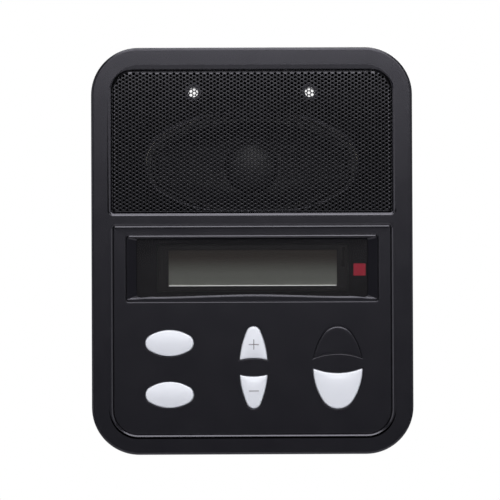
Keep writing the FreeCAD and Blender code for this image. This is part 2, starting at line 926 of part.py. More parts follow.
def terminal_screws():
    y = board_back_y + terminal_height - terminal_well_depth
    outlines = [polygon(y, x, terminal_z, terminal_screw_across, 6) for x in terminal_places()]
    return Part.makeCompound([flat_prism(outline, terminal_screw_height) for outline in outlines])


def capacitors():
    found = []
    top, across = board_back_y + capacitor_height, 2 * capacitor_radius
    for k in range(capacitor_count):
        x = capacitor_x + k * capacitor_pitch
        levels = ((board_back_y, across), (top - capacitor_edge, across), (top, across - 2 * capacitor_edge))
        found.append(flat_sided([polygon(y, x, capacitor_z, size, capacitor_sides) for y, size in levels]))
    return Part.makeCompound(found)


def controller_chip():
    return slab(board_back_y, controller_thickness, controller_x, controller_z,
                controller_width, controller_height)


def amplifier_chip():
    """A flat power package that stands on its edge, with a notch for a screw in its top."""
    x, z, top = amplifier_x, amplifier_z, board_back_y + amplifier_height
    body = slab(board_back_y, amplifier_height, x, z, amplifier_width, amplifier_thickness)
    return body.cut(slab(top - amplifier_notch_depth, amplifier_notch_depth + 1, x, z,
                         amplifier_notch, amplifier_thickness + 1))


def speaker_socket():
    return slab(board_back_y, socket_height, socket_x, socket_z, socket_width, socket_depth)


def speaker_plug():
    return slab(socket_back_y, plug_height, socket_x, socket_z, socket_width - 2 * plug_shrink,
                socket_depth - 2 * plug_shrink)


# Loudspeaker

def speaker_gasket():
    inner = surround_land + surround_gap
    return driver_ring(driver_seat, frame_front_y, inner, inner + gasket_width)


def basket_window(start):
    """A wedge cut through the sloping wall, between two angles and two radii."""
    a, b = math.radians(start), math.radians(start + frame_window_angle)
    points = []
    for radius, angle in ((frame_window_inner, a), (frame_window_outer, a),
                          (frame_window_outer, b), (frame_window_inner, b)):
        points.append(V(radius * math.cos(angle), frame_back_y, driver_z + radius * math.sin(angle)))
    return flat_prism(points, spider_depth)


def speaker_frame():
    """A pressed steel basket: flange, sloping wall, ledge for the spider, and a cup for the magnet pot."""
    flange = prism(frame_wire(frame_front_y), frame_sheet).cut(
        flat_prism(driver_outline(frame_front_y - 1, grow=frame_wall / 2), frame_sheet + 2))
    back = ledge_y + frame_wall
    levels = [(ledge_y, ledge_radius), (ledge_y, cup_radius), (cup_y, cup_radius), (cup_y, cup_hole_radius),
              (pot_y, cup_hole_radius), (pot_y, cup_radius + frame_wall), (back, cup_radius + frame_wall),
              (back, ledge_radius + frame_wall)]
    basket = flat_sided([driver_outline(frame_front_y)] + [driver_outline(y, radius) for y, radius in levels]
                        + [driver_outline(frame_front_y, grow=frame_wall)], True)
    first, width = frame_window_first, frame_window_angle
    cuts = [basket_window(start) for start in (first, -first - width, 180 + first, 180 - first - width)]
    cuts += screw_holes(frame_screw_places(), frame_front_y, frame_sheet)
    return fuse([flange, basket]).cut(Part.makeCompound(cuts))


def cone_surround():
    """A flat land on the frame, and a ridge that rolls down to the cone."""
    y, skin = frame_front_y, surround_skin
    run, top, half = surround_run, y - skin - surround_roll, surround_crest / 2
    levels = [(y, surround_land), (y - skin, surround_land), (y - skin, 0), (top, half - run / 2),
              (top, -half - run / 2), (y - skin, -run), (y, -run), (top + skin, -run / 2), (y, -skin)]
    return flat_sided([driver_outline(level, grow=grow) for level, grow in levels], True)


def speaker_cone():
    y, collar = frame_front_y, coil_outer_radius + coil_fit
    return flat_sided([
        driver_outline(y - cone_skin, grow=-surround_run), driver_outline(y, grow=-surround_run),
        driver_outline(neck_y + cone_skin, neck_radius), driver_outline(neck_y + cone_skin, collar),
        driver_outline(neck_y, collar), driver_outline(neck_y, neck_radius)], True)


def dust_cap():
    levels = [(0, cap_radius), (cap_shoulder, cap_mid_radius), (cap_rise, cap_top_radius)]
    return flat_sided([driver_outline(neck_y - rise, radius) for rise, radius in levels])


def driver_drum(radius, y0, y1):
    return flat_sided([driver_outline(y0, radius), driver_outline(y1, radius)])


def voice_coil():
    end_y = neck_y + coil_length
    return driver_drum(coil_outer_radius, neck_y, end_y).cut(driver_drum(coil_inner_radius, neck_y, end_y))


def spider():
    """A round waved cloth disc that centres the coil; its rim lies on the ledge of the frame."""
    inner, outer = coil_outer_radius + coil_fit, spider_outer_radius
    front = [(spider_y, outer), (spider_y, cup_radius), (spider_y - spider_wave, (cup_radius + inner) / 2),
             (spider_y, inner)]
    back = [(y + spider_skin, radius) for y, radius in reversed(front)]
    return flat_sided([driver_outline(y, radius) for y, radius in front + back], True)


def pole_plate():
    return driver_drum(pole_radius, pot_y, pole_back_y)


def speaker_magnet():
    return driver_drum(pole_radius, pole_back_y, magnet_back_y)


def magnet_pot():
    bore = driver_drum(pot_bore_radius, pot_y - 1, magnet_back_y)
    return driver_drum(pot_radius, pot_y, pot_back_y).cut(bore)


def strip_centre_z():
    return driver_z - frame_height / 2 + strip_edge + strip_height / 2


def terminal_strip():
    """A small board on the flange with two upright solder lugs."""
    z = strip_centre_z()
    pieces = [slab(frame_back_y, strip_thickness, strip_x, z, strip_width, strip_height)]
    for side in (-1, 1):
        pieces.append(slab(frame_back_y + strip_thickness / 2, lug_height - strip_thickness / 2,
                           strip_x + side * lug_spacing / 2, z, lug_width, lug_thickness))
    return fuse(pieces)


def speaker_leads():
    """Two leads from the plug up to the lugs, their sides flat."""
    found = []
    y_low = socket_back_y + plug_height / 2
    y_high = frame_back_y + strip_thickness + lead_diameter / 2 + lead_lift
    start_z = socket_z + socket_depth / 2 - plug_shrink
    end_z = strip_centre_z() - lug_thickness / 2
    for side in (-1, 1):
        x_low, x_high = socket_x + side * lead_spacing / 2, strip_x + side * lug_spacing / 2
        points = [V(x_low, y_low, start_z), V(x_low, y_low, start_z + lead_rise),
                  V(x_high, y_high, end_z - lead_fall), V(x_high, y_high, end_z)]
        path, radii = tangent_path(points)
        section = [V(p.x, y_low + p.z, start_z) for p in polygon(0, x_low, 0, lead_diameter, 4)]
        lead = path.makePipeShell([Part.makePolygon(section + section[:1])], True, False)
        expected = flat_face(section).Area * path.Length
        print("lead radii", radii, "volume over section times length", round(lead.Volume / expected, 4))
        found.append(lead)
    return Part.makeCompound(found)


# All pieces

def screws(places, y, through, bite):
    return Part.makeCompound([screw(x, y, z, through, bite) for x, z in places])


nodes = {
    "front_housing": front_housing(),
    "speaker_grille": speaker_grille(),
    "display_lens": display_lens(),
    "signal_window": signal_window(),
    "signal_lamp": signal_lamp(),
    "blank_key_insert": blank_insert(),
    "module_frame": module_frame(),
    "display_glass": display_glass(),
    "light_guide": light_guide(),
    "module_board": module_board(),
    "chip_drops": chip_drops(),
    "board_ribbon": board_ribbon(),
    "keypad_mat": keypad_mat(),
    "control_board": control_board(),
    "terminal_block": terminal_block(),
    "terminal_screws": terminal_screws(),
    "capacitors": capacitors(),
    "controller_chip": controller_chip(),
    "amplifier_chip": amplifier_chip(),
    "speaker_socket": speaker_socket(),
    "speaker_plug": speaker_plug(),
    "speaker_leads": speaker_leads(),
    "speaker_gasket": speaker_gasket(),
    "speaker_frame": speaker_frame(),
    "cone_surround": cone_surround(),
    "speaker_cone": speaker_cone(),
    "dust_cap": dust_cap(),
    "voice_coil": voice_coil(),
    "spider": spider(),
    "pole_plate": pole_plate(),
    "speaker_magnet": speaker_magnet(),
    "magnet_pot": magnet_pot(),
    "terminal_strip": terminal_strip(),
    "board_screws": screws(board_screw_places(), board_back_y, board_thickness, board_screw_bite),
    "module_screws": screws(module_screw_places(), module_board_back_y, board_thickness, module_screw_bite),
    "speaker_screws": screws(frame_screw_places(), frame_back_y, frame_sheet, frame_screw_bite),
}
for name, (form, post_x, post_z, pocket) in keys.items():
    nodes[name] = push_key(form, post_x, post_z, pocket)

os.makedirs("parts", exist_ok=True)
for name, shape in nodes.items():
    shape.exportStep("parts/" + name + ".step")
    box = shape.BoundBox
    print(name, len(shape.Solids), shape.isValid(), round(shape.Volume, 1),
          [round(v, 2) for v in (box.XMin, box.XMax, box.YMin, box.YMax, box.ZMin, box.ZMax)])
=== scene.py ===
# %% [markdown]
# # A wall intercom station
# The station is a black moulded front with a pierced steel grille over an oval
# loudspeaker, a display behind a smoked lens, a red window, five white keys and one
# black blank. This lesson dresses the fixed model of it: the solids
# give every place and size, and the cells below give the rounded edges, the
# crowned keys, the fine holes and the finishes that the eye looks for.

# %% Load the fixed model
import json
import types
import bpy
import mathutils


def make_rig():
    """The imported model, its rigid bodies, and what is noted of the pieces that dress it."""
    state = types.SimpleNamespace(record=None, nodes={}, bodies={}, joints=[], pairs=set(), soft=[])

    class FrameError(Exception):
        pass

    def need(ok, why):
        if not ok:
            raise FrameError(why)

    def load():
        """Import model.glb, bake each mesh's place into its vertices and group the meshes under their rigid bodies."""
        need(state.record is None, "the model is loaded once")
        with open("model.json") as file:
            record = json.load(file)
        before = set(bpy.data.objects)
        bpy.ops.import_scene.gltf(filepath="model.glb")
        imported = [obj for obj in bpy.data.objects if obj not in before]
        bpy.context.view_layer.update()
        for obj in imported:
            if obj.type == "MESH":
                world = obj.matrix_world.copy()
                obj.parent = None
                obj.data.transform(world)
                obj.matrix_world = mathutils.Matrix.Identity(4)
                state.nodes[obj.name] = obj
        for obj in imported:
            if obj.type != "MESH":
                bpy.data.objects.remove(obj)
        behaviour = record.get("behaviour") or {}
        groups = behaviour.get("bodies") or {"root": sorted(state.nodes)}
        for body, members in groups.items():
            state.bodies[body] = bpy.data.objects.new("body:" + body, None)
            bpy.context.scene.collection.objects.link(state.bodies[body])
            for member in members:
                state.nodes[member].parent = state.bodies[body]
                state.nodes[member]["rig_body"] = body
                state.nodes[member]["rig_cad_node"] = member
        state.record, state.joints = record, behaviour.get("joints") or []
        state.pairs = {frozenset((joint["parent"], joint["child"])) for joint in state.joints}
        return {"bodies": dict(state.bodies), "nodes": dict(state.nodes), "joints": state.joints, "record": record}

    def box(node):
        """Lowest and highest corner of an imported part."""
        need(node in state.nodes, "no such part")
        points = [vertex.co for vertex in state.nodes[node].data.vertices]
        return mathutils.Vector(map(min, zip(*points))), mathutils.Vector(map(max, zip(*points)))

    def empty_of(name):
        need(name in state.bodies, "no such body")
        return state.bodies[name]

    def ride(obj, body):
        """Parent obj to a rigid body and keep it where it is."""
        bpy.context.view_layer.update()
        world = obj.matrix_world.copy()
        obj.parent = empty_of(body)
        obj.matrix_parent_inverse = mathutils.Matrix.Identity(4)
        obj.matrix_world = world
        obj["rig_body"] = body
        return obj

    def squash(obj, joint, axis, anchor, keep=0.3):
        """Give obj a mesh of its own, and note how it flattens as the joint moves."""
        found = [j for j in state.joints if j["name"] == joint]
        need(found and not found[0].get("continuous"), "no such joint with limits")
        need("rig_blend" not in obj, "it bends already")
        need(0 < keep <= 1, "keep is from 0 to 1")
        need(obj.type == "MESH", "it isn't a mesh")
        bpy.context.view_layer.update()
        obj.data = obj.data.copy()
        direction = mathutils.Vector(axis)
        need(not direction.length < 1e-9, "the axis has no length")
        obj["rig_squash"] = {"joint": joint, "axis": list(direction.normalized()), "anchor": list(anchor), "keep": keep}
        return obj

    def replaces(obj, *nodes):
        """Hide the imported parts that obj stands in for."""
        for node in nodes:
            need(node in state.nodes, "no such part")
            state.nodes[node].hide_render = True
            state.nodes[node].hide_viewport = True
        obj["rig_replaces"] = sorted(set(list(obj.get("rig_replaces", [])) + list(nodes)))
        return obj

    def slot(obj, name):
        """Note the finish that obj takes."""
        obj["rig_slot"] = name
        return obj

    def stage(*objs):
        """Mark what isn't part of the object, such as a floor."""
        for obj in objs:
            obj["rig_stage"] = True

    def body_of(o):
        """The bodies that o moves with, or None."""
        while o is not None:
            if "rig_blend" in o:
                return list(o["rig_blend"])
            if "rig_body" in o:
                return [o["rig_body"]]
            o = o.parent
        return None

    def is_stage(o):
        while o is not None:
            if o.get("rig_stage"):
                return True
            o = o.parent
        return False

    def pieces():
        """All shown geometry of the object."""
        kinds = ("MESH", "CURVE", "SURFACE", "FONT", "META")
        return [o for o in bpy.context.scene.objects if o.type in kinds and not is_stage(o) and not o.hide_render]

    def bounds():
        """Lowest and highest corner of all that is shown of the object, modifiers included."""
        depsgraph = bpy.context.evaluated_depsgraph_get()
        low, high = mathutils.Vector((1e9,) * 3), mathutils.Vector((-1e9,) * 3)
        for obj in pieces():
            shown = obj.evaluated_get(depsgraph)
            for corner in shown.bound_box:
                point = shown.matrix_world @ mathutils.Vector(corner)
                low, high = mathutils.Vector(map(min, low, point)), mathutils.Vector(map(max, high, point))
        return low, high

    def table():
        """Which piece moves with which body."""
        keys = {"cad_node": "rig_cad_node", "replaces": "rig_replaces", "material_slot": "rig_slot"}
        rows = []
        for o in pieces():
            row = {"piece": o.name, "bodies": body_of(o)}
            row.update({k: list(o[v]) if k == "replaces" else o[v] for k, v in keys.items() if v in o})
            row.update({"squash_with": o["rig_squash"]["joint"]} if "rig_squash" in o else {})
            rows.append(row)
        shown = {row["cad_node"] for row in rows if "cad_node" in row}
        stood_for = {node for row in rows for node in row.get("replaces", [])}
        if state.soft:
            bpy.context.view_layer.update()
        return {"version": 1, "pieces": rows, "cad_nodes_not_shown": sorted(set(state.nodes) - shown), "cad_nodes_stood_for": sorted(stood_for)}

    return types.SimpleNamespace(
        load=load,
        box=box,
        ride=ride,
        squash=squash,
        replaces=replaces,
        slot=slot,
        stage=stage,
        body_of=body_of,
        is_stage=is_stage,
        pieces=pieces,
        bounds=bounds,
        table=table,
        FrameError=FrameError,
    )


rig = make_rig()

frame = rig.load()

import json
import math
import bmesh
import bpy
import numpy as np
from mathutils import Quaternion, Vector
from mathutils.geometry import delaunay_2d_cdt


def corner_lists():
    """The lowest and highest corner of all that shows, as plain lists."""
    return [list(corner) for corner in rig.bounds()]


def placed(name, data):
    """A new object of the scene."""
    obj = bpy.data.objects.new(name, data)
    bpy.context.scene.collection.objects.link(obj)
    return obj


solid_box = corner_lists()
print("bodies", sorted(frame["bodies"]), "box", np.round(solid_box, 4).tolist())

# %% [markdown]
# ## Camera
# The photograph is taken nearly square to the front, from far enough that no side
# of the station shows: its edges converge so little that the camera stands at most
# a degree off the axis, and it is rolled by a quarter of a degree. A long lens at
# 1.6 m does the same.

# %% Camera
camera_distance, sensor_width = 1.6, 36.0
view_width = 0.2565       # what the picture spans at the plane of the front
turn, rise, roll = math.radians(-0.5), math.radians(-1.0), math.radians(0.23)
aim = Vector((-0.00113, -0.017, 0.00033))
back = Vector((math.sin(turn) * math.cos(rise), -math.cos(turn) * math.cos(rise), math.sin(rise)))
camera = placed("camera", bpy.data.cameras.new("camera"))
camera.location = aim + back * camera_distance
camera.rotation_euler = ((-back).to_track_quat("-Z", "Y") @ Quaternion((0, 0, 1), -roll)).to_euler()
camera.data.sensor_width = sensor_width
camera.data.lens = sensor_width * camera_distance / view_width
camera.data.clip_start, camera.data.clip_end = 0.01, 50.0
bpy.context.scene.camera = camera
print("lens", round(camera.data.lens, 1), "mm")

# %% [markdown]
# ## Lines and surfaces
# Nearly every piece is an outline seen from the front, carried back along a
# profile. So a few functions are enough: one rounds the corners of a profile, one
# moves an outline outwards, one spans a skin between outlines, and one fills a
# flat face that has holes. All of them work on whole numpy arrays, in millimetres.

# %% Profiles and outlines
def rounded(points, radii, steps=6):
    """A line whose inner corners are replaced by arcs: each arc starts its radius times the
    tangent of half the turn before the corner, and bulges as a circle of that radius does."""
    points = np.array(points, float)
    line = [points[:1]]
    for before, corner, after, radius in zip(points, points[1:], points[2:], radii):
        u, w = before - corner, after - corner
        u, w = u / np.hypot(*u), w / np.hypot(*w)
        half = np.arccos(np.clip(u @ w, -1, 1)) / 2
        start, end = corner + u * radius / np.tan(half), corner + w * radius / np.tan(half)
        middle = corner + (u + w) / np.hypot(*(u + w)) * radius / np.sin(half)
        a, b = np.arctan2(*(start - middle)[::-1]), np.arctan2(*(end - middle)[::-1])
        turn = (b - a + np.pi) % (2 * np.pi) - np.pi
        angles = a + turn * np.linspace(0, 1, steps + 1)
        line.append(middle + radius * np.stack([np.cos(angles), np.sin(angles)], 1))
    return np.concatenate(line + [points[-1:]])


def box_outline(x, low, high, width, r_low, r_high, steps=9, runs=1):
    """A rectangle with round corners: a quarter circle at each corner, and straight runs
    between them that are cut into equal lengths."""
    corners = []
    for side, up, r, start in ((1, 1, r_high, 0), (-1, 1, r_high, 90), (-1, -1, r_low, 180),
                               (1, -1, r_low, 270)):
        angle = np.radians(start + np.linspace(0, 90, steps + 1))
        middle = (x + side * (width / 2 - r), (high if up > 0 else low) - up * r)
        corners.append(np.array(middle) + r * np.stack([np.cos(angle), np.sin(angle)], 1))
    share = np.linspace(0, 1, runs + 1)[1:-1, None]
    loop = []
    for this, other in zip(corners, corners[1:] + corners[:1]):
        loop += [this, this[-1] + (other[0] - this[-1]) * share]
    return np.concatenate(loop)


def full_turn(count):
    """Equal steps of angle round a full turn."""
    return 2 * np.pi * np.arange(count) / count


def circle(x, z, radius, count=32, turn=0.0):
    """Points at equal angles round a centre."""
    angle = turn + full_turn(count)
    return np.stack([x + radius * np.cos(angle), z + radius * np.sin(angle)], 1)


def grown(loop, distance):
    """The outline moved outwards: each corner goes along the sum of the normals of its two
    sides, divided by one plus their product, which keeps both sides parallel to themselves."""
    ahead = np.roll(loop, -1, 0) - loop
    ahead = ahead / np.maximum(np.hypot(*ahead.T), 1e-9)[:, None]
    out = np.stack([ahead[:, 1], -ahead[:, 0]], 1)
    both = out + np.roll(out, 1, 0)
    share = 1 + (out * np.roll(out, 1, 0)).sum(1)
    return loop + both / share[:, None] * np.broadcast_to(distance, len(loop))[:, None]


def raised(loop, y):
    """The outline set in space at a depth y, which may differ from point to point."""
    return np.stack([loop[:, 0], np.broadcast_to(y, len(loop)), loop[:, 1]], 1)


def seen_flat(row):
    """A row of points in space as the outline that it shows from the front."""
    return row[:, [0, 2]]


# %% Skins and flat faces
def skin(rows, ring=False):
    """Four-sided faces between each outline and the next; a ring also joins the last to the first."""
    count, width = len(rows), len(rows[0])
    j, i = np.meshgrid(np.arange(count if ring else count - 1), np.arange(width), indexing="ij")
    k, m = (j + 1) % count, (i + 1) % width
    faces = np.stack([j * width + i, j * width + m, k * width + m, k * width + i], -1).reshape(-1, 4)
    return np.concatenate(rows), faces


def run(loop, profile):
    """The outline carried along a profile of (how far it is grown, depth)."""
    return skin([raised(grown(loop, grow), y) for grow, y in profile])


def inside(points, loop):
    """Whether points lie inside an outline: a ray to the right crosses it an odd number of times."""
    a, b = loop, np.roll(loop, -1, 0)
    rise = np.where(b[:, 1] == a[:, 1], 1e-12, b[:, 1] - a[:, 1])
    across = (a[:, 1] > points[:, None, 1]) != (b[:, 1] > points[:, None, 1])
    where = a[:, 0] + (points[:, None, 1] - a[:, 1]) / rise * (b[:, 0] - a[:, 0])
    return ((across & (points[:, None, 0] < where)).sum(1) % 2).astype(bool)


def flat_layout(outer, holes):
    """Triangles between an outer outline and the holes in it: a Delaunay layout keeps every
    outline's sides, and the triangles whose middles fall in a hole are left out."""
    loops = [outer] + list(holes)
    sides, start = [], 0
    for loop in loops:
        k = np.arange(len(loop))
        sides.append(np.stack([start + k, start + (k + 1) % len(loop)], 1))
        start += len(loop)
    found = delaunay_2d_cdt([Vector(p) for p in np.concatenate(loops)], np.concatenate(sides).tolist(), [], 1,
                            1e-7)
    points, faces = np.array([tuple(p) for p in found[0]]), np.array(found[2])
    middles = points[faces].mean(1)
    keep = inside(middles, outer)
    for hole in holes:
        near = np.flatnonzero(((middles > hole.min(0)) & (middles < hole.max(0))).all(1))
        keep[near[inside(middles[near], hole)]] = False
    return points, faces[keep]


def flat(y, outer, *holes):
    """A flat face with holes, at one depth."""
    points, faces = flat_layout(outer, holes)
    return raised(points, y), faces


def plate(y0, y1, outer, *holes, edge=0.0):
    """A flat plate with holes; the outer edge is rounded on both sides where edge is given."""
    if edge:
        profile = rounded([(-2 * edge, y0), (0, y0), (0, y1), (-2 * edge, y1)], (edge, edge), 4)
    else:
        profile = [(0, y0), (0, y1)]
    grow = profile[0][0]
    faces = [flat(y0, grown(outer, grow), *holes), flat(y1, grown(outer, grow), *holes), run(outer, profile)]
    return faces + [run(hole, [(0, y0), (0, y1)]) for hole in holes]


def bar(x0, x1, y0, y1, z0, z1, edge=0.15):
    """A box with rounded edges, carried along Y."""
    loop = box_outline((x0 + x1) / 2, z0, z1, x1 - x0, 2 * edge, 2 * edge, 3)
    return plate(y0, y1, loop, edge=edge)


def turned(x, z, profile, count=40):
    """A turned shape: a profile of (radius, depth) swept round an axis along Y, closed where
    the profile starts and ends on the axis."""
    return skin([raised(circle(x, z, r, count), y) for r, y in profile])


# %% Pieces from surfaces
merge_distance, least_edge = 2e-6, 1e-7      # in metres


def surface_mesh(name, surfaces, sharp=32):
    """One closed mesh, in metres, from many surfaces: doubles are merged, all faces are turned
    outwards, and edges sharper than an angle stay crisp."""
    points, faces, start = [], [], 0
    for verts, polys in surfaces:
        points.append(verts)
        faces += (polys + start).tolist()
        start += len(verts)
    mesh = bpy.data.meshes.new(name)
    mesh.from_pydata(np.concatenate(points) / 1000, [], faces)
    work = bmesh.new()
    work.from_mesh(mesh)
    bmesh.ops.remove_doubles(work, verts=work.verts, dist=merge_distance)
    bmesh.ops.dissolve_degenerate(work, edges=work.edges, dist=least_edge)
    bmesh.ops.recalc_face_normals(work, faces=work.faces)
    open_edges = sum(not edge.is_manifold for edge in work.edges)
    work.to_mesh(mesh)
    work.free()
    mesh.shade_smooth()
    mesh.set_sharp_from_angle(angle=math.radians(sharp))
    triangles = sum(len(p.vertices) - 2 for p in mesh.polygons)
    print(f"{name}: {triangles} triangles, {open_edges} open edges")
    return mesh


def piece(name, surfaces, material, slot, body="station", nodes=(), sharp=32, weighted=True):
    """Adds a piece that rides on a body and stands for the nodes it replaces."""
    obj = placed(name, surface_mesh(name, surfaces, sharp))
    obj.data.materials.append(material)
    if weighted:
        even = obj.modifiers.new("even shading on the flats", "WEIGHTED_NORMAL")
        even.keep_sharp = True
    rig.ride(obj, body)
    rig.slot(obj, slot)
    if nodes:
        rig.replaces(obj, *nodes)
    return obj


def box_mm(node):
    """A node's lowest and highest corner in millimetres."""
    return [np.array(corner) * 1000 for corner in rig.box(node)]


# %% [markdown]
# ## Finishes
# Each finish starts from what the real one is. A single function makes the tree
# that all share: a noise in real millimetres that shifts the colour and the
# roughness a little, and a finer one that lifts the surface. What differs from
# one finish to the next is in the numbers, and the display's glass gets more nodes.

# %% Colours and nodes
def linear(colour):
    """The linear colour for an sRGB hex value."""
    s = np.array([int(colour[k:k + 2], 16) for k in (1, 3, 5)]) / 255
    return (*np.where(s <= 0.04045, s / 12.92, ((s + 0.055) / 1.055) ** 2.4).tolist(), 1.0)


def node(tree, kind, inputs=None, **settings):
    """Adds one node, with its settings, and with a value or another node's socket on each input."""
    made = tree.nodes.new("ShaderNode" + kind)
    for key, value in settings.items():
        setattr(made, key, value)
    for key, value in (inputs or {}).items():
        if isinstance(value, bpy.types.NodeSocket):
            tree.links.new(value, made.inputs[key])
        else:
            made.inputs[key].default_value = value
    return made


def emptied_tree(block):
    """The node tree of a material or a world, switched on and emptied."""
    block.use_nodes = True
    block.node_tree.nodes.clear()
    return block.node_tree


def material(name, light, dark, grain, roughness, spread=0.04, relief=0.0, relief_grain=None, **sockets):
    """A surface between two close colours, mottled at a grain given in millimetres, its
    roughness spread round a middle value, with a relief in millimetres at its own grain."""
    made = bpy.data.materials.new(name)
    tree = emptied_tree(made)
    place = node(tree, "TexCoord").outputs["Object"]
    mottle = node(tree, "TexNoise", {"Vector": place, "Scale": 1000 / grain, "Detail": 3.0}).outputs["Fac"]
    colour = node(tree, "MixRGB", {"Fac": mottle, "Color1": linear(light),
                                   "Color2": linear(dark)}).outputs["Color"]
    rough = node(tree, "MapRange", {"Value": mottle, "From Min": 0.3, "From Max": 0.7,
                                    "To Min": roughness - spread,
                                    "To Max": roughness + spread}).outputs["Result"]
    shader = node(tree, "BsdfPrincipled", {"Base Color": colour, "Roughness": rough, **sockets})
    if relief:
        fine = node(tree, "TexNoise", {"Vector": place, "Scale": 1000 / relief_grain,
                                       "Detail": 2.0}).outputs["Fac"]
        lift = node(tree, "Bump", {"Height": fine, "Strength": 1.0,
                                   "Distance": relief / 1000}).outputs["Normal"]
        tree.links.new(lift, shader.inputs["Normal"])
    tree.links.new(shader.outputs[0], node(tree, "OutputMaterial").inputs["Surface"])
    return made

# %% [markdown]
# ## Stage and light
# The photograph has a plain white ground and a large soft light above the front.
# Black gloss shows little but what it mirrors, so the light decides how the front
# looks: the upper end mirrors the soft light's lower edge and the lower end
# mirrors the dim room. The floor and the backdrop are far off, so they colour
# nothing. The backdrop shows white to the camera, to mirrors and through glass. The
# floor glows for the camera alone, so it is nearly white and yet keeps a shadow.

# %% Floor and backdrop
white, paper_colour, floor_glow = (1, 1, 1, 1), linear("#f4f4f4"), 0.9
floor_height, stage_half, stage_top, backdrop_place = -0.9, 6, 5, 4      # in metres


def white_when_seen(tree, paper):
    """White where the camera, a mirror or glass sees it, and plain paper for other rays."""
    path = node(tree, "LightPath")
    seen = path.outputs["Is Camera Ray"]
    for kind in ("Is Glossy Ray", "Is Transmission Ray"):
        seen = node(tree, "Math", {0: seen, 1: path.outputs[kind]}, operation="MAXIMUM").outputs[0]
    bright = node(tree, "Emission", {"Color": white, "Strength": 1.0})
    return node(tree, "MixShader", {0: seen, 1: paper.outputs[0], 2: bright.outputs[0]})


def glowing_to_camera(tree, paper):
    """Plain paper with a glow that only the camera sees."""
    seen = node(tree, "LightPath").outputs["Is Camera Ray"]
    glow = node(tree, "Math", {0: seen, 1: floor_glow}, operation="MULTIPLY").outputs[0]
    bright = node(tree, "Emission", {"Color": white, "Strength": glow})
    return node(tree, "AddShader", {0: paper.outputs[0], 1: bright.outputs[0]})


a, b, h = stage_half, backdrop_place, floor_height
backdrop_corners = [(-a, b, h), (a, b, h), (a, b, stage_top), (-a, b, stage_top)]
floor_corners = [(-a, -a, h), (a, -a, h), (a, b, h), (-a, b, h)]
for name, corners, look in (("backdrop", backdrop_corners, white_when_seen),
                            ("floor", floor_corners, glowing_to_camera)):
    finish = bpy.data.materials.new(name + " paper, matt white")
    tree = emptied_tree(finish)
    paper = node(tree, "BsdfDiffuse", {"Color": paper_colour})
    node(tree, "OutputMaterial", {"Surface": look(tree, paper).outputs[0]})
    mesh = bpy.data.meshes.new(name)
    mesh.from_pydata(corners, [], [(0, 1, 2, 3)])
    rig.stage(placed(name, mesh))
    mesh.materials.append(finish)

# %% World and lamps
world = bpy.data.worlds.new("dim room")
bpy.context.scene.world = world
tree = emptied_tree(world)
room = node(tree, "Background", {"Color": linear("#85859a"), "Strength": 0.3})
open_white = node(tree, "Background", {"Color": white, "Strength": 1.0})
camera_ray = node(tree, "LightPath").outputs["Is Camera Ray"]
seen = node(tree, "MixShader", {0: camera_ray, 1: room.outputs[0], 2: open_white.outputs[0]})
node(tree, "OutputWorld", {"Surface": seen.outputs[0]})

# Each lamp's name, place, width, height and power; all of them face the station.
for name, place, width, height, power in (("soft light over the camera", (0.1, -1.6, 0.66), 1.0, 0.62, 12),
                                          ("soft light overhead", (0.0, -0.45, 1.4), 1.6, 0.9, 24),
                                          ("soft light from the right", (1.7, -0.7, 0.2), 0.7, 1.2, 3.2),
                                          ("soft light from the left", (-1.7, -0.7, 0.2), 0.7, 1.2, 4),
                                          ("light on the back", (0.4, 1.6, 0.9), 1.4, 1.0, 14)):
    lamp = bpy.data.lights.new(name, "AREA")
    lamp.shape, lamp.size, lamp.size_y, lamp.energy = "RECTANGLE", width, height, power
    obj = placed(name, lamp)
    obj.location = place
    obj.rotation_euler = (-Vector(place)).to_track_quat("-Z", "Y").to_euler()
    print(name, power, "W")
bpy.context.scene.view_settings.view_transform = "Standard"

# %% Finishes of the front
# A satin black that mirrors the lamps softly, so flats stay dark and edges turn to bright lines.
housing_abs = material("black ABS, moulded with a satin gloss", "#0f0f11", "#0d0d0e", 14, 0.26, 0.012,
                       0.0004, 0.5, **{"IOR": 1.54, "Specular Tint": (1.0, 0.975, 1.11, 1.0)})
# Deeper black than the front, and glossier, so that each web between the holes catches a glint.
grille_coat = material("pierced steel, black powder coat", "#0c0c0d", "#090909", 3, 0.2, 0.02,
                       0.001, 0.3, **{"IOR": 1.5, "Specular IOR Level": 0.5,
                                      "Specular Tint": (1.0, 0.98, 1.08, 1.0)})
# A cool white, just rough enough to hide the lamps' outlines on the crown.
key_abs = material("white ABS, moulded satin", "#e9ebf1", "#e5e8ee", 6, 0.36, 0.02, 0.0006, 0.6,
                   **{"IOR": 1.53})
# Pale signs that stand back from the white of the keys.
sign_ink = material("grey ink, pad printed", "#a3a0a4", "#949195", 0.8, 0.5, 0.04)
# The one warm spot: a red with a painted glow, so that it stays bright even in the shade of its recess.
glowing_signal_acrylic = material("red acrylic, moulded clear red", "#e03850", "#d03048", 4, 0.12, 0.02,
                          **{"IOR": 1.49, "Emission Color": linear("#b0283c"), "Emission Strength": 0.75})
# Half clear, so the display shows through dimly while the plate itself stays glossy.
lens_acrylic = material("smoked acrylic, polished", "#302f2e", "#2c2b2a", 12, 0.06, 0.01,
                        **{"IOR": 1.49, "Alpha": 0.4, "Specular IOR Level": 0.9})
# A dull dark border that parts the bright glass from the lens.
frame_black = material("steel sheet, blackened", "#161617", "#101011", 2, 0.38, 0.05, 0.002, 0.4,
                       **{"Metallic": 0.3})
# Painted shade: a near-black cloth that takes all light, so nothing behind the grille shows but the loudspeaker.
shade_cloth_black = material("black cotton cloth, woven", "#070707", "#040404", 0.5, 0.9, 0.05, 0.03, 0.4,
                       **{"Specular IOR Level": 0.15})
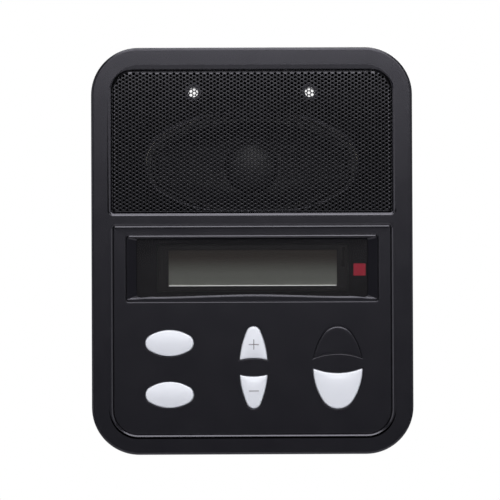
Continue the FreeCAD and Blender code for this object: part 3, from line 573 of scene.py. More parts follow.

# %% Finishes of the display
# Grey green glass with a painted shade: it grows darker and browner upwards, where the recess's upper edge shades it
# from the light above.
shade_low, shade_high = -0.0135, -0.0022      # heights in metres between which it darkens
lcd = material("liquid crystal glass, grey green", "#c8cbbf", "#c1c5ba", 15, 0.25, 0.02)
tree, shader = lcd.node_tree, next(n for n in lcd.node_tree.nodes if n.type == "BSDF_PRINCIPLED")
height = node(tree, "SeparateXYZ", {"Vector": node(tree, "TexCoord").outputs["Object"]}).outputs["Z"]
shade = node(tree, "MapRange", {"Value": height, "From Min": shade_low, "From Max": shade_high},
             interpolation_type="SMOOTHSTEP").outputs["Result"]
base = shader.inputs["Base Color"].links[0].from_socket
# the painted shade: a dark brown mixed in towards the top of the glass
mixed = node(tree, "MixRGB", {"Fac": shade, "Color1": base, "Color2": linear("#655b4f")}).outputs["Color"]
tree.links.new(mixed, shader.inputs["Base Color"])
# Milky plates: the light guide's faces are matt, and its polished edge is a fine white line that glows: a painted
# highlight that keeps it bright behind the smoked lens.
guide_white = material("white acrylic, moulded matt", "#dfe0da", "#d6d8d0", 8, 0.5, 0.05)
glowing_edge_white = material("white acrylic, polished edge", "#f3f3f6", "#ecedf1", 3, 0.3, 0.03,
                      **{"Emission Color": white, "Emission Strength": 1.2})
print("the glass darkens over", round(1000 * (shade_high - shade_low), 1), "mm")

# %% Finishes of the boards
# Two blacks for the chips: a wet looking drop and a dull moulded body.
resin = material("black epoxy, cast drop", "#1a1a1b", "#121213", 1.5, 0.35, 0.06, 0.02, 1.2)
epoxy_black = material("black epoxy, moulded matt", "#222223", "#19191a", 0.8, 0.55, 0.05, 0.004, 0.2)
# Rubber is dull and takes soft shadows; the ribbon beside it has a plastic sheen.
silicone = material("grey silicone rubber, moulded", "#74777a", "#6a6d70", 4, 0.6, 0.05, 0.004, 0.5)
ribbon_pvc = material("grey PVC ribbon", "#8b8d90", "#7e8083", 3, 0.45, 0.05)
# The coloured mouldings by which a board is read: green for the wires, cream for the plug.
terminal_pa = material("green polyamide, moulded", "#1f7a4c", "#1a6c43", 3, 0.42, 0.05, 0.004, 0.4)
nylon = material("natural nylon, moulded", "#dcd6c4", "#d2cbb6", 2, 0.45, 0.05)
# Three bright metals, from the greyer zinc of the screws to solder, which mirrors most.
zinc = material("steel, zinc plated", "#b4b3ad", "#9d9c96", 1.2, 0.32, 0.08, **{"Metallic": 1.0})
solder = material("solder, frozen bright", "#bcbcba", "#a3a3a0", 0.6, 0.25, 0.08, **{"Metallic": 1.0})
can_aluminium = material("aluminium can, deep drawn", "#c2c4c6", "#aeb0b3", 1, 0.3, 0.05, **{"Metallic": 1.0})
# Tight glossy skins: a highlight runs along each sleeve and each lead.
sleeve_pvc = material("dark blue shrink sleeve", "#1c2340", "#161c34", 4, 0.32, 0.04)
lead_red = material("red PVC lead, extruded", "#9c1820", "#8a141b", 2, 0.4, 0.04)
lead_black = material("black PVC lead, extruded", "#1b1b1c", "#141415", 2, 0.4, 0.04)
# A chalky body, a printed line, and tracks that show as a lighter green through the glossy resist.
ceramic_tan = material("fired ceramic, tan", "#a58a68", "#97794f", 1.0, 0.5, 0.05)
board_print = material("white ink, screen printed", "#c9cfc9", "#bcc3bc", 1.0, 0.55, 0.05)
copper_under_resist = material("copper under green resist", "#257a4c", "#1f6f44", 3, 0.3, 0.04)
board_green = material("glass epoxy board, green solder resist", "#14603a", "#115433", 6, 0.35, 0.05, 0.01,
                       0.6)

# %% Finishes of the loudspeaker
# A warm metal with a broad, faintly mottled gleam.
basket_steel = material("pressed steel, yellow zinc plate", "#a8a496", "#8f8b7d", 5, 0.34, 0.08, 0.004, 1.5,
                        **{"Metallic": 1.0})
# Near blacks that only differ in sheen: fibrous paper, a lacquered cap, coated cloth, dead matt foam.
cone_paper = material("pressed black paper pulp", "#131315", "#0b0b0d", 1.6, 0.6, 0.08, 0.06, 0.9)
cap_paper = material("pressed black cap, lacquered", "#161617", "#0f0f10", 2, 0.46, 0.05, 0.02, 1.0)
roll_cloth = material("coated black cloth", "#0e0e0f", "#0a0a0b", 1.0, 0.6, 0.06, 0.03, 0.5)
gasket_foam = material("black closed cell foam", "#121213", "#0c0c0d", 0.7, 0.9, 0.04, 0.08, 0.6)
# Warm accents through the windows of the basket: lacquered wire and stiff ochre cloth.
copper = material("enamelled copper winding", "#a65a2e", "#8d4722", 0.4, 0.35, 0.05, **{"Metallic": 0.8})
spider_cloth = material("resin dipped cloth, ochre", "#a9823d", "#946f31", 0.8, 0.75, 0.05, 0.05, 0.5)
# Plain parts: dark grey ceramic, brown board, and a small clear lamp.
ferrite = material("sintered ferrite, ground", "#3b3b3f", "#303034", 1.2, 0.55, 0.06, 0.01, 0.3)
phenolic = material("phenolic paper board, punched", "#6e4a2c", "#5e3e24", 1.5, 0.5, 0.05, 0.01, 0.4)
lamp_epoxy = material("clear epoxy, moulded lamp", "#d8d2cc", "#cfc8c1", 2, 0.2, 0.02)
print("finishes", len(bpy.data.materials))

# %% [markdown]
# ## The moulded front
# The front is one moulding: a flat frame with a tight rounded edge, a recess for
# the grille, and a key panel that is sunk by less than a millimetre. On such a
# black part the eye reads only the edges, each of which is a fine bright line under
# the light above. So every edge is rounded here, and round the panel and the
# display a groove as narrow as a hair parts two rounded edges. A facet deep in a
# groove would lie in its shadow, so above the panel and above the display a low
# bead stands near the front plane and catches the light. It could be a band of
# paint, but a real bead also shows its line from the side.

# %% Sizes of the front, in millimetres
low, high = box_mm("front_housing")
front, panel = -17.0, -16.3
inner_front, floor_y, baffle_back, lens_face, lens_seat = -14.2, -12.0, -9.5, -13.6, -11.6
lens_floor_back, board_back, module_back = -9.6, -5.4, -4.3
module_x, module_z = 0.3, -8.8            # middle of the display
fixing_x, fixing_z, driver_z = 30, 81.7, 44
body_outline = box_outline(0, -104.5, 104.5, 165, 24.4, 24.4, 20)
recess_outline = box_outline(0, 19.3, 92.8, 144.5, 1.5, 11.0, 12)
panel_outline = box_outline(0, -94.5, 12.7, 143.5, 13.0, 1.5, 12)
display_outline = box_outline(0, -26.2, 7.9, 130, 2.0, 2.0, 8, 24)
lens_outline = box_outline(0, -23.7, 6.6, 119, 1.6, 1.6, 8, 24)
print("front", np.round(high - low, 1), "mm")


# %% Outlines of the keys
def oval_point(angle, width, height, grow=0.0):
    """A point of an oval of four arcs, by the angle of its normal from the long axis: small
    circles at the tips and large ones along the sides meet where their normals agree."""
    a, b = max(width, height) / 2, min(width, height) / 2
    tip = b * (b / a) ** 0.65
    side = (a ** 2 - 2 * a * tip + b ** 2) / (2 * (b - tip))
    turn = math.atan2(side - b, a - tip)
    along, across = np.cos(angle), np.sin(angle)
    at_side = np.abs(across) > math.sin(turn)
    radius = np.where(at_side, side, tip) + grow
    u = np.where(at_side, 0, np.sign(along) * (a - tip)) + radius * along
    v = np.where(at_side, np.sign(across) * (b - side), 0) + radius * across
    return u, v


def oval(x, z, width, height, count=72, grow=0.0):
    """An oval whose long axis lies along X or stands along Z."""
    u, v = oval_point(full_turn(count), width, height, grow)
    return np.stack([x - v, z + u] if height > width else [x + u, z + v], 1)


def cut_oval(x, z, width, height, bar_z, side, middle, up, grow=0.0, count=64, bar_count=24):
    """An upright oval kept only above or below a bar whose edge is an arc: the corners are
    where the oval meets the arc, found by halving, and both edges get equal steps."""
    half, bulge = width / 2, middle - side
    radius = (half ** 2 + bulge ** 2) / (2 * bulge)
    offset = up * (bar_z - z) + middle - grow

    def bar_edge(v):
        return offset - (radius - np.sqrt(radius ** 2 - v ** 2))

    near, far = 0.0, math.pi
    for _ in range(50):
        angle = (near + far) / 2
        u, v = oval_point(np.array([angle]), width, height, grow)
        near, far = (angle, far) if u[0] > bar_edge(v[0]) else (near, angle)
    u, v = oval_point(np.linspace(-near, near, count), width, height, grow)
    back = np.linspace(v[-1], v[0], bar_count + 2)[1:-1]
    u, v = np.concatenate([u, bar_edge(back)]), np.concatenate([v, back])
    return np.stack([x - up * v, z + up * u], 1)


# Each cut oval: its middle, width and height, the height of its bar, and half the bar's
# thickness at the sides and in the middle.
volume_form = (0.5, -59.9, 14.3, 41.9, -59.9, 3.9, 4.8)
talk_form = (43.7, -60.1, 25.1, 42.0, -58.0, 2.7, 5.1)
key_forms = {
    "source": lambda grow=0.0: oval(-42.6, -47.3, 24.5, 13.2, grow=grow),
    "set": lambda grow=0.0: oval(-42.6, -73.8, 24.5, 13.2, grow=grow),
    "volume_up": lambda grow=0.0: cut_oval(*volume_form, 1, grow),
    "volume_down": lambda grow=0.0: cut_oval(*volume_form, -1, grow),
    "talk": lambda grow=0.0: cut_oval(*talk_form, -1, grow),
    "blank": lambda grow=0.0: cut_oval(*talk_form, 1, grow),
}
for name, form in key_forms.items():
    print(name, np.round(form().min(0), 1), np.round(form().max(0), 1))

# %% [markdown]
# The recess has a soft upper edge, and crisp sides and a crisp lower lip, so its
# rounding grows from point to point as the edge turns upwards. The lens lies in a
# slope of its own, and below it a rounded lip runs in a slight wave from end to end.

# %% Openings of the keys and of the baffle
def key_opening(form, gap, edge):
    """The wall of a key opening: a rounded edge at the panel, then straight to the inside."""
    profile = rounded([(1.4, panel), (gap, panel), (gap, inner_front)], (edge,), 5)
    return [raised(form(grow), y) for grow, y in profile]


def sound_outline(count=96):
    """Two ovals set 30 mm apart, joined by straight runs."""
    loop = oval(0, 45.8, 79, 49, count)
    return loop + np.stack([np.sign(np.round(loop[:, 0], 6)) * 15, np.zeros(count)], 1)


sound = sound_outline()


def fixing_circles(radius):
    """A circle round each of the two fixing holes, 60 mm apart."""
    return [circle(side * fixing_x, fixing_z, radius, 28) for side in (-1, 1)]


fixing, sleeve = fixing_circles(2.5), fixing_circles(4.6)
edges = {"source": 0.25, "set": 0.25, "volume_up": 0.35, "volume_down": 0.35, "talk": 0.25, "blank": 0.4}
openings = {name: key_opening(form, 0.15 if name == "blank" else 0.3, edges[name])
            for name, form in key_forms.items()}
back_of = {name: seen_flat(rows[-1]) for name, rows in openings.items()}

print("baffle", np.round(sound.max(0) - sound.min(0), 1), "mm,", len(openings), "key openings")

# %% Frame and the recess's edge
border_width, border_edge = 9.0, 1.4
border = run(body_outline, rounded([(0, 0), (0, front), (-border_width, front)], (border_edge,), 10))
front_outline = grown(body_outline, -border_width)

# How far each point of the recess faces up, and how wide and deep the soft edge is there.
soft = np.clip((grown(recess_outline, 1.0) - recess_outline)[:, 1] * 1.05, 0, 1)
soft_width, soft_depth, soft_power = 3.2, 2.0, 1.3
recess_lip = rounded([(1.8, front), (1.2, front), (0.6, front + 0.44), (0, front + 0.5), (0, front + 1.6)],
                     (0.2, 0.15, 0.1), 2)
recess_edge = [raised(grown(recess_outline, soft * soft_width * (1 - t) + (1 - soft) * out),
                      soft * (front + soft_depth * t ** soft_power) + (1 - soft) * y)
               for t, (out, y) in zip(np.linspace(0, 1, len(recess_lip)),
                                      recess_lip)] + [raised(recess_outline, floor_y)]
recess_mouth = seen_flat(recess_edge[0])
print("recess mouth", np.round(recess_mouth.max(0) - recess_mouth.min(0), 1), "mm")

# %% Grooves round the panel and the display
# Each profile lists how far outside the outline and how deep its corners lie. The groove
# round the panel gets a bead on its inner side at the top.
groove = rounded([(1.8, front), (0.65, front), (0, front + 0.47), (0, -15.8), (-0.2, -15.8),
                  (-0.9, panel), (-1.4, panel)], (0.25, 0.1, 0.04, 0.04, 0.2), 4)
groove_top = rounded([(1.8, front), (1.3, front), (0.35, -16.4), (0.25, -16.37), (-0.5, -16.9),
                      (-0.85, -16.35), (-1.4, panel)], (0.2, 0.04, 0.03, 0.06, 0.05), 4)


def edge_rows(loop, all_round, at_top, at_foot):
    """The outline carried along a profile that changes over to others where it faces up or down.
    The change goes from none at a slope of 0.8 to all at 0.99."""
    rise = (grown(loop, 1.0) - loop)[:, 1]
    up, down = [np.clip((way * rise - 0.8) / 0.19, 0, 1)[:, None] for way in (1, -1)]
    return [raised(grown(loop, row[:, 0]), row[:, 1])
            for row in ((1 - up - down) * a + up * b + down * c
                        for a, b, c in zip(all_round, at_top, at_foot))]


groove_rows = edge_rows(panel_outline, groove, groove_top, groove)
panel_mouth, panel_inner = seen_flat(groove_rows[0]), seen_flat(groove_rows[-1])
front_face = flat(front, front_outline, recess_mouth, panel_mouth)


def display_side(floor, inner, end):
    """The groove round the display: the depths of its floor, of its inner edge and of its end,
    where the slope to the lens begins."""
    return rounded([(1.2, panel), (0.36, panel), (0.2, panel + 0.12), (0, floor), (-0.2, floor),
                    (-0.7, inner), (-0.9, end)], (0.15, 0.06, 0.04, 0.04, 0.08), 4)


display_groove, display_foot = display_side(-15.3, -15.66, -15.62), display_side(-15.2, -15.34, -15.4)
display_top = rounded([(1.2, panel), (0.6, panel), (0.2, -16.0), (0.08, -15.96), (-0.5, -16.36),
                       (-0.7, -16.2), (-0.9, -15.62)], (0.15, 0.04, 0.03, 0.05, 0.05), 4)
display_rows = edge_rows(display_outline, display_groove, display_top, display_foot)
display_mouth, display_inner = seen_flat(display_rows[0]), seen_flat(display_rows[-1])
panel_face = flat(panel, panel_inner, display_mouth, *[seen_flat(rows[0]) for rows in openings.values()])
print("panel", np.round(panel_inner.max(0) - panel_inner.min(0), 1), "mm")
print("display", np.round(display_mouth.max(0) - display_mouth.min(0), 1), "mm")

# %% Slope and lip round the lens
# The slope to the lens: it falls by a share of its width, and under the lens it gives way to a
# lip, an arc of one radian that starts where a cosine along the lens puts it.
lens_out = grown(lens_outline, 1.0) - lens_outline
inward, start = lens_outline - display_inner, display_rows[-1][:, 1]
slope_start, slope_fall, slope_width = -15.62, 0.36, 1.6
lip_radius, lip_top, lip_foot, lip_end, lip_ease, lip_before = 1.25, -15.4, -13.66, 57.5, 3, 0.7
wave_middle, wave_height, wave_length = -23.3, 0.55, 105
below = np.clip((-lens_out[:, 1] - 0.6) / 0.39, 0, 1)
lens_edge = slope_start - slope_fall * (inward * lens_out).sum(1) * (1 - 0.9 * below)
below = below * np.clip((lip_end - np.abs(lens_outline[:, 0])) / lip_ease, 0, 1)
wave = wave_middle + wave_height * np.cos(2 * np.pi * lens_outline[:, 0] / wave_length) - display_inner[:, 1]
lip_arc = [(0.1 + 0.09 * k, lip_radius * math.sin(k / 7), lip_top + lip_radius * (1 - math.cos(k / 7)))
           for k in range(8)]
slope_rows = []
for share, along, depth in ([(0, 0, start)] + lip_arc
                            + [(0.98, lip_radius * math.sin(1), lip_foot), (1, None, lip_foot)]):
    if along is None:
        across = slope_width
    else:
        across = np.maximum(wave - lip_before + along, 0) if share else 0 * wave
    at = share * (1 - below) + below * across / slope_width
    slope_rows.append(raised(display_inner + at[:, None] * inward,
                             (1 - below) * (start + share * (lens_edge - start)) + below * depth))
slope = skin(slope_rows + [raised(lens_outline, lens_seat)])
print("slope and lip", len(slope_rows), "rows of", len(lens_outline), "points")

# %% The inner side of the front
module_hole = box_outline(module_x, -21.2, 3.6, 98.8, 0.4, 0.4, 3)
signal_hole = box_outline(55.3, -12.95, -6.65, 6.3, 0.3, 0.3, 3)
baffle_faces = [flat(floor_y, recess_outline, grown(sound, 0.6), *fixing),
                run(sound, rounded([(0.6, floor_y), (0, floor_y), (0, baffle_back)], (0.5,), 4))]
tray, display_tray = grown(recess_outline, 2.0), grown(display_outline, 2.0)
inner_walls = [
    skin([raised(grown(body_outline, -2.5), y) for y in (0, inner_front)]),
    skin([raised(body_outline, 0), raised(grown(body_outline, -2.5), 0)]),
    flat(inner_front, grown(body_outline, -2.5), tray, display_tray, *back_of.values()),
    skin([raised(tray, inner_front), raised(tray, baffle_back)]),
    flat(baffle_back, tray, sound, *sleeve),
    skin([raised(display_tray, inner_front), raised(display_tray, lens_floor_back)]),
    flat(lens_floor_back, display_tray, module_hole, signal_hole),
    flat(lens_seat, lens_outline, module_hole, signal_hole),
    run(module_hole, [(0, lens_seat), (0, lens_floor_back)]),
    run(signal_hole, [(0, lens_seat), (0, lens_floor_back)]),
]
for hole, outside in zip(fixing, sleeve):
    inner_walls += [run(hole, [(0, floor_y), (0, 0)]), run(outside, [(0, baffle_back), (0, 0)]),
                    skin([raised(hole, 0), raised(outside, 0)])]
main_shell = [border, front_face, skin(recess_edge), skin(groove_rows), panel_face, skin(display_rows), slope]
main_shell += [skin(rows) for rows in openings.values()] + baffle_faces + inner_walls
print("the shell has", len(main_shell), "surfaces")

# %% Bosses, ribs, collar and hooks
def driver_oval(grow=0.0, count=96):
    """The loudspeaker's oval opening, grown."""
    return oval(0, driver_z, 104, 51, count, grow)


def boss(x, z, y0, y1, depth, radius=3.5):
    """A round post with a blind hole for a screw."""
    return turned(x, z, [(0.001, y0), (radius, y0), (radius, y1 - 0.3), (radius - 0.3, y1), (1.35, y1),
                         (1.35, y1 - depth), (0.001, y1 - depth)], 24)


board_screws = [(side * 60, z) for side in (-1, 1) for z in (-88, -36.5)]
board_screws += [(side * 21, -59.9) for side in (-1, 1)]
module_screws = [(module_x + sx * 54.5, module_z + sz * 14.5) for sx in (-1, 1) for sz in (-1, 1)]
speaker_screws = [(sx * 50, driver_z + sz * 24) for sx in (-1, 1) for sz in (-1, 1)]
fittings = [boss(x, z, -14.9, -7, 6.4) for x, z in board_screws]
fittings += [boss(x, z, -10.6, -5.9, 4.4) for x, z in module_screws]
fittings += [boss(x, z, -11.5, -6, 4.3) for x, z in speaker_screws]
collar = [raised(driver_oval(3), -11.5), raised(driver_oval(6), -11.5), raised(driver_oval(6), -7),
          raised(driver_oval(3), -7)]
fittings.append(skin(collar, ring=True))
for k in (-1, 0, 1):
    for side in (-1, 1):
        x0, x1 = sorted((side * 76.0, side * 81.0))
        fittings += bar(x0, x1, -14.9, -3, k * 50 - 0.75, k * 50 + 0.75, 0.2)
for x in (-38, 38):
    fittings += bar(x - 6, x + 6, -7, -1, -103.25, -98.25, 0.3)
    fittings += bar(x - 6, x + 6, -7, 6, -100.25, -98.25, 0.3)
    fittings += bar(x - 6, x + 6, 4, 6, -102.75, -98.25, 0.3)
piece("front_moulding", main_shell + fittings, housing_abs, "housing_abs", nodes=["front_housing"])

# %% [markdown]
# ## The pierced grille
# The sheet is pierced flat and then bent, so the holes run on over the bend. The
# same order makes the mesh: the holes are cut in a flat layout that is larger than
# the face, and what lies beyond the face is wrapped round the bend. The powder coat
# leaves a small bevel on the rim of every hole, and that bevel is in the mesh, for
# the glints on the rims are what tells steel from a printed pattern. Behind the
# sheet lies a black cloth that hides the baffle: a sheet of painted shade, so that
# nothing behind the grille shows but the loudspeaker.

# %% Sizes of the grille, and distance from its face
hole_pitch, hole_radius, hole_sides, hole_bevel, bevel_depth = 2.0, 0.77, 9, 0.11, 0.085
grille_face, sheet_thickness, bend_radius = -16.5, 0.7, 0.87
grille_gap = 0.25         # all round, between the sheet and the recess
face_outline = box_outline(0, 19.3 + grille_gap + bend_radius, 92.8 - grille_gap - bend_radius,
                           144.5 - 2 * grille_gap - 2 * bend_radius, 0.3, 9.45, 12)
spare = 0.95              # how far beyond the face holes may reach
crown_drop = 0.3          # how far the sheet leans back at its upper edge
layout_outline = grown(face_outline, spare + 0.25)


def edge_distance(points):
    """How far points lie beyond the face's outline, with the nearest point of it and its
    outward direction: the least distance to any of the outline's sides."""
    a = face_outline
    along = np.roll(a, -1, 0) - a
    length = np.hypot(*along.T)
    out = np.stack([along[:, 1], -along[:, 0]], 1) / length[:, None]
    offset = points[:, None] - a
    share = np.clip((offset * along).sum(-1) / length ** 2, 0, 1)
    near = a + share[..., None] * along
    gap = points[:, None] - near
    distance = np.hypot(gap[..., 0], gap[..., 1])
    k = distance.argmin(1)
    rows = np.arange(len(points))
    outside = ~inside(points, face_outline)
    distance, near = distance[rows, k], near[rows, k]
    unit = np.where(distance[:, None] > 1e-6, (points - near) / np.maximum(distance, 1e-6)[:, None], out[k])
    return np.where(outside, distance, -distance), near, unit


# %% Flat layout of the holes
column = hole_pitch * math.sqrt(3) / 2
i, j = np.meshgrid(np.arange(-44, 45), np.arange(-24, 24), indexing="ij")
centres = np.stack([i * column, 56.0 + (j + i % 2 / 2) * hole_pitch], -1).reshape(-1, 2)
beyond = edge_distance(centres)[0]
centres = centres[beyond < spare - hole_radius - 0.1]
ring = circle(0, 0, hole_radius, hole_sides, math.pi / 2)
holes = centres[:, None] + ring * (1 + hole_bevel / hole_radius)
layout, triangles = flat_layout(layout_outline, list(holes))
print(len(centres), "holes,", len(triangles), "triangles on the face")

# %% The bend
bend_end, bend_step = 1.3, 0.01
bend_length = np.linspace(0, bend_end, 131)
bend_angle = np.interp(bend_length, [0, 0.1, 0.75, bend_end], np.radians([0, 36, 36, 90]))
bend_out, bend_back = [np.concatenate([[0], np.cumsum(part(bend_angle[:-1]) * bend_step)])
                       for part in (np.cos, np.sin)]


def bent(points, depth):
    """Wraps the flat layout round the bend: at a length s beyond the face the sheet has turned
    by an angle that rises to 36 degrees, rests there and goes on to 90, and its place is the
    sum of the small steps up to s. A point at a depth in the sheet lies that far along the
    normal behind it."""
    beyond, near, unit = edge_distance(points)
    s = np.clip(beyond, 0, bend_end)
    angle = np.interp(s, bend_length, bend_angle)
    out = np.interp(s, bend_length, bend_out) - depth * np.sin(angle)
    where = np.where(beyond[:, None] > 0, near + unit * out[:, None], points)
    y = grille_face + np.interp(s, bend_length, bend_back) + depth * np.cos(angle)
    y += crown_drop * np.clip((points[:, 1] - 62) / 30, 0, 1) ** 2
    return np.stack([where[:, 0], y, where[:, 1]], 1)


def bent_ring_walls():
    """The walls of all the holes at once: three rings of points for each hole, of which the
    middle one is narrower, so that the rim at the front is a small bevel as the coat leaves it."""
    wide, narrow = holes.reshape(-1, 2), (centres[:, None] + ring).reshape(-1, 2)
    points = np.concatenate([bent(wide, 0.0), bent(narrow, bevel_depth), bent(wide, sheet_thickness)])
    k = np.arange(len(wide)).reshape(-1, hole_sides)
    following, n = np.roll(k, -1, 1), len(wide)
    quads = [[k, following, following + n, k + n], [k + n, following + n, following + 2 * n, k + 2 * n]]
    return points, np.stack(quads[0] + quads[1], -1).reshape(-1, 4)


# %% Rim, tabs and the cloth behind
rim_start = [bent(layout_outline, 0.0), bent(layout_outline, sheet_thickness)]
rim_out = grown(face_outline, bend_radius)
rim_in = grown(face_outline, bend_radius - sheet_thickness)
rim = skin([rim_start[0], raised(rim_out, -14.4), raised(rim_out, floor_y), raised(rim_in, floor_y),
            raised(rim_in, -14.4), rim_start[1]])
tabs = []
for x, z in ((45, 91.75), (65, 19.55)):
    for side in (-1, 1):
        tabs += bar(side * x - 3.5, side * x + 3.5, -12, -8.3, z, z + 0.8, 0.15)
sheets = [(bent(layout, depth), triangles) for depth in (0.0, sheet_thickness)]
piece("pierced_grille", sheets + [bent_ring_walls(), rim] + tabs,
      grille_coat, "grille_steel", nodes=["speaker_grille"], sharp=30, weighted=False)

# A near-black sheet of painted shade over the baffle behind the grille.
piece("black_cloth", plate(-12.3, floor_y, grown(recess_outline, -0.7), grown(sound, 0.7),
                           *fixing_circles(4.2)), shade_cloth_black, "foam")

# %% [markdown]
# ## Lens, window and display
# The lens is a plate of smoked acrylic with a small bevel all round. Through it the
# display's glass shows in its black frame, and the polished edge of the white light
# guide lies as a bright line along the foot of the glass. That line is a thin sill
# with a slanted top, because an edge that is only painted would vanish from aside,
# and it glows: a painted highlight that keeps it bright behind the smoked lens.

# %% Smoked lens
lens_loop = grown(lens_outline, -0.15)
piece("smoked_lens", [run(lens_loop, [(0, lens_seat), (0, lens_face + 0.25), (-0.3, lens_face)]),
                      flat(lens_face, grown(lens_loop, -0.3)), flat(lens_seat, lens_loop)],
      lens_acrylic, "lens_acrylic", nodes=["display_lens"])

# %% Display frame, glass and red window
frame_face, glass_face, frame_back = -11.4, -10.9, -5.9
frame_loop = box_outline(module_x, -20.8, 3.2, 98, 1.0, 1.0, 5)
frame_inside = box_outline(module_x, -20.3, 2.7, 97, 0.6, 0.6, 5)
view_loop = box_outline(module_x, module_z - 9.15, module_z + 9.15, 86.6, 0.5, 0.5, 5)
outer_edge = rounded([(-1.6, frame_face), (0, frame_face), (0, frame_back)], (0.8,), 5)
view_edge = rounded([(1.2, frame_face), (0, frame_face), (0, glass_face)], (0.45,), 5)
frame_parts = [run(frame_loop, outer_edge), flat(frame_face, grown(frame_loop, -1.6), grown(view_loop, 1.2)),
               run(view_loop, view_edge), flat(glass_face, frame_inside, view_loop),
               run(frame_inside, [(0, glass_face), (0, frame_back)]),
               skin([raised(frame_inside, frame_back), raised(frame_loop, frame_back)])]
piece("display_frame", frame_parts, frame_black, "display_frame", nodes=["module_frame"])
# The sill glows by its own emission: a painted highlight along the foot of the glass.
sill_loop = rounded([(-11.56, -18.06), (-11.56, -18.02), (-11.4, -17.74), (-10.95, -17.74), (-10.95, -18.06)],
                    (0.02, 0.04, 0.04), 2)
piece("bare_sill", [(points[:, [1, 0, 2]], faces) for points, faces in plate(-42.9, 43.3, sill_loop)],
      glowing_edge_white, "display_frame", sharp=20)
piece("display_cell", bar(-47.2, 47.8, -10.9, -8.5, -19.8, 2.2, 0.2), lcd, "display_glass",
      nodes=["display_glass"])
# The red window's emission is a painted glow; no lamp lights it.
piece("red_window", bar(52.3, 58.3, -11.4, -9.6, -12.8, -6.8, 0.25)
      + bar(51.2, 59.4, -9.6, -8.6, -13.9, -5.7, 0.2), glowing_signal_acrylic, "signal_red",
      nodes=["signal_window"])

# %% [markdown]
# ## Keys
# A key is a moulded cap with a rounded edge and a crown of about half a millimetre,
# so that its face shades softly from edge to middle. A subdivided box would round
# all sides alike, so the crown is a surface over the key's own outline. A rim behind
# the panel keeps the key in, and a post stands on a rubber dome.

# %% Key caps
key_top, key_rim_y, dome_top = -18.14, -14.1, -10.5


def crown_share(points, whole, bar_height):
    """How far the crown has risen at a point: one minus the square of its distance from the
    oval's middle over the oval's radius that way, times a rise that starts at the bar."""
    middle = (whole.min(0) + whole.max(0)) / 2
    spoke = whole - middle
    order = np.argsort(np.arctan2(spoke[:, 1], spoke[:, 0]))
    reach = np.interp(np.arctan2(*(points - middle).T[::-1]), np.arctan2(spoke[order, 1], spoke[order, 0]),
                      np.hypot(*spoke[order].T), period=2 * math.pi)
    share = 1 - np.clip(np.hypot(*(points - middle).T) / reach, 0, 1) ** 2
    return share if bar_height is None else share * (1 - np.exp(-np.maximum(bar_height(points), 0) / 3.5))


def cap(form, top, crown, round_edge, foot, whole=None, bar_height=None):
    """A cap: straight sides, a rounded edge, and a crowned top."""
    shoulder = top + crown
    profile = rounded([(0, foot), (0, shoulder), (-2.0 * round_edge, shoulder - 0.25 * round_edge)],
                      (round_edge,), 6)
    inner = form(profile[-1][0])
    middle = (inner.min(0) + inner.max(0)) / 2
    whole = inner if whole is None else whole
    rows = []
    for s in 1 - np.linspace(0, 1, 11) ** 0.9:
        points = middle + (inner - middle) * max(s, 1e-5)
        rise = crown_share(points, whole, bar_height) if s < 1 else np.zeros(len(points))
        rows.append((points, rise))
    most = max(rise.max() for points, rise in rows)
    top_rows = [raised(points, profile[-1][1] + (top - profile[-1][1]) * rise / most)
                for points, rise in rows]
    return [skin([raised(form(grow), y) for grow, y in profile]), skin(top_rows), flat(foot, form())]


def rim_plate(form, y):
    """The plate with cut corners behind a key."""
    loop = form()
    (x0, z0), (x1, z1) = loop.min(0) - 1.5, loop.max(0) + 1.5
    outline = np.array([(x1, z1 - 3), (x1 - 3, z1), (x0 + 3, z1), (x0, z1 - 3), (x0, z0 + 3), (x0 + 3, z0),
                        (x1 - 3, z0), (x1, z0 + 3)])
    return plate(y, y + 1.0, outline)


# %% The five keys
key_nodes = {"source": (-42.6, -47.3), "set": (-42.6, -73.8), "volume_up": (0.5, -48.3),
             "volume_down": (0.5, -71.5), "talk": (43.7, -72.6)}
for name, (x, z) in key_nodes.items():
    form, whole, bar_height = key_forms[name], None, None
    if name in ("volume_up", "volume_down", "talk"):
        shape, up = (talk_form, -1) if name == "talk" else (volume_form, 1 if name == "volume_up" else -1)
        whole = oval(*shape[:2], shape[2] - 3, shape[3] - 3)

        def bar_height(points, up=up, bar_z=shape[4], half=shape[6]):
            """Height over the bar, less the rounded edge."""
            return up * (points[:, 1] - bar_z) - half - 1.0
    parts = cap(form, key_top, 0.62, 0.75, key_rim_y, whole, bar_height) + rim_plate(form, key_rim_y)
    parts += bar(x - 2.5, x + 2.5, -14.0, dome_top - 0.1, z - 2.5, z + 2.5, 0.2)
    piece(name + "_cap", parts, key_abs, "key_white", name + "_button", [name + "_key"])


# %% Signs and the blank key
def sign(x, z, across, stroke, y, both):
    """The bars of a plus or minus sign, printed a hair above the face."""
    sizes = [(across, stroke), (stroke, across)][:2 if both else 1]
    return sum([bar(x - a / 2, x + a / 2, y, y + 0.4, z - b / 2, z + b / 2, 0.02) for a, b in sizes], [])


piece("plus_sign", sign(0.6, -48.1, 5.2, 0.5, -18.2, True), sign_ink, "key_white", "volume_up_button")
piece("minus_sign", sign(0.6, -71.9, 5.0, 0.5, -18.2, False), sign_ink, "key_white", "volume_down_button")
blank_parts = cap(key_forms["blank"], -16.5, 0.08, 0.35, inner_front)
blank_parts += rim_plate(key_forms["blank"], inner_front)
piece("blank_cap", blank_parts, housing_abs, "housing_abs", nodes=["blank_key_insert"])

# %% [markdown]
# ## Loudspeaker
# The oval driver is all swept rings: every ring has the same number of points, taken
# at the same angles, so an oval at the front can run down to a circle at the neck.
# The cone is pressed paper with a cloth roll round it, the cap is lacquered, and
# the basket is one pressing with four windows.

# %% Rings of the driver
ring_count = 96


def round_ring(radius, y):
    """A circle round the driver's axis, at the angles that the oval uses."""
    return raised(circle(0, driver_z, radius, ring_count), y)


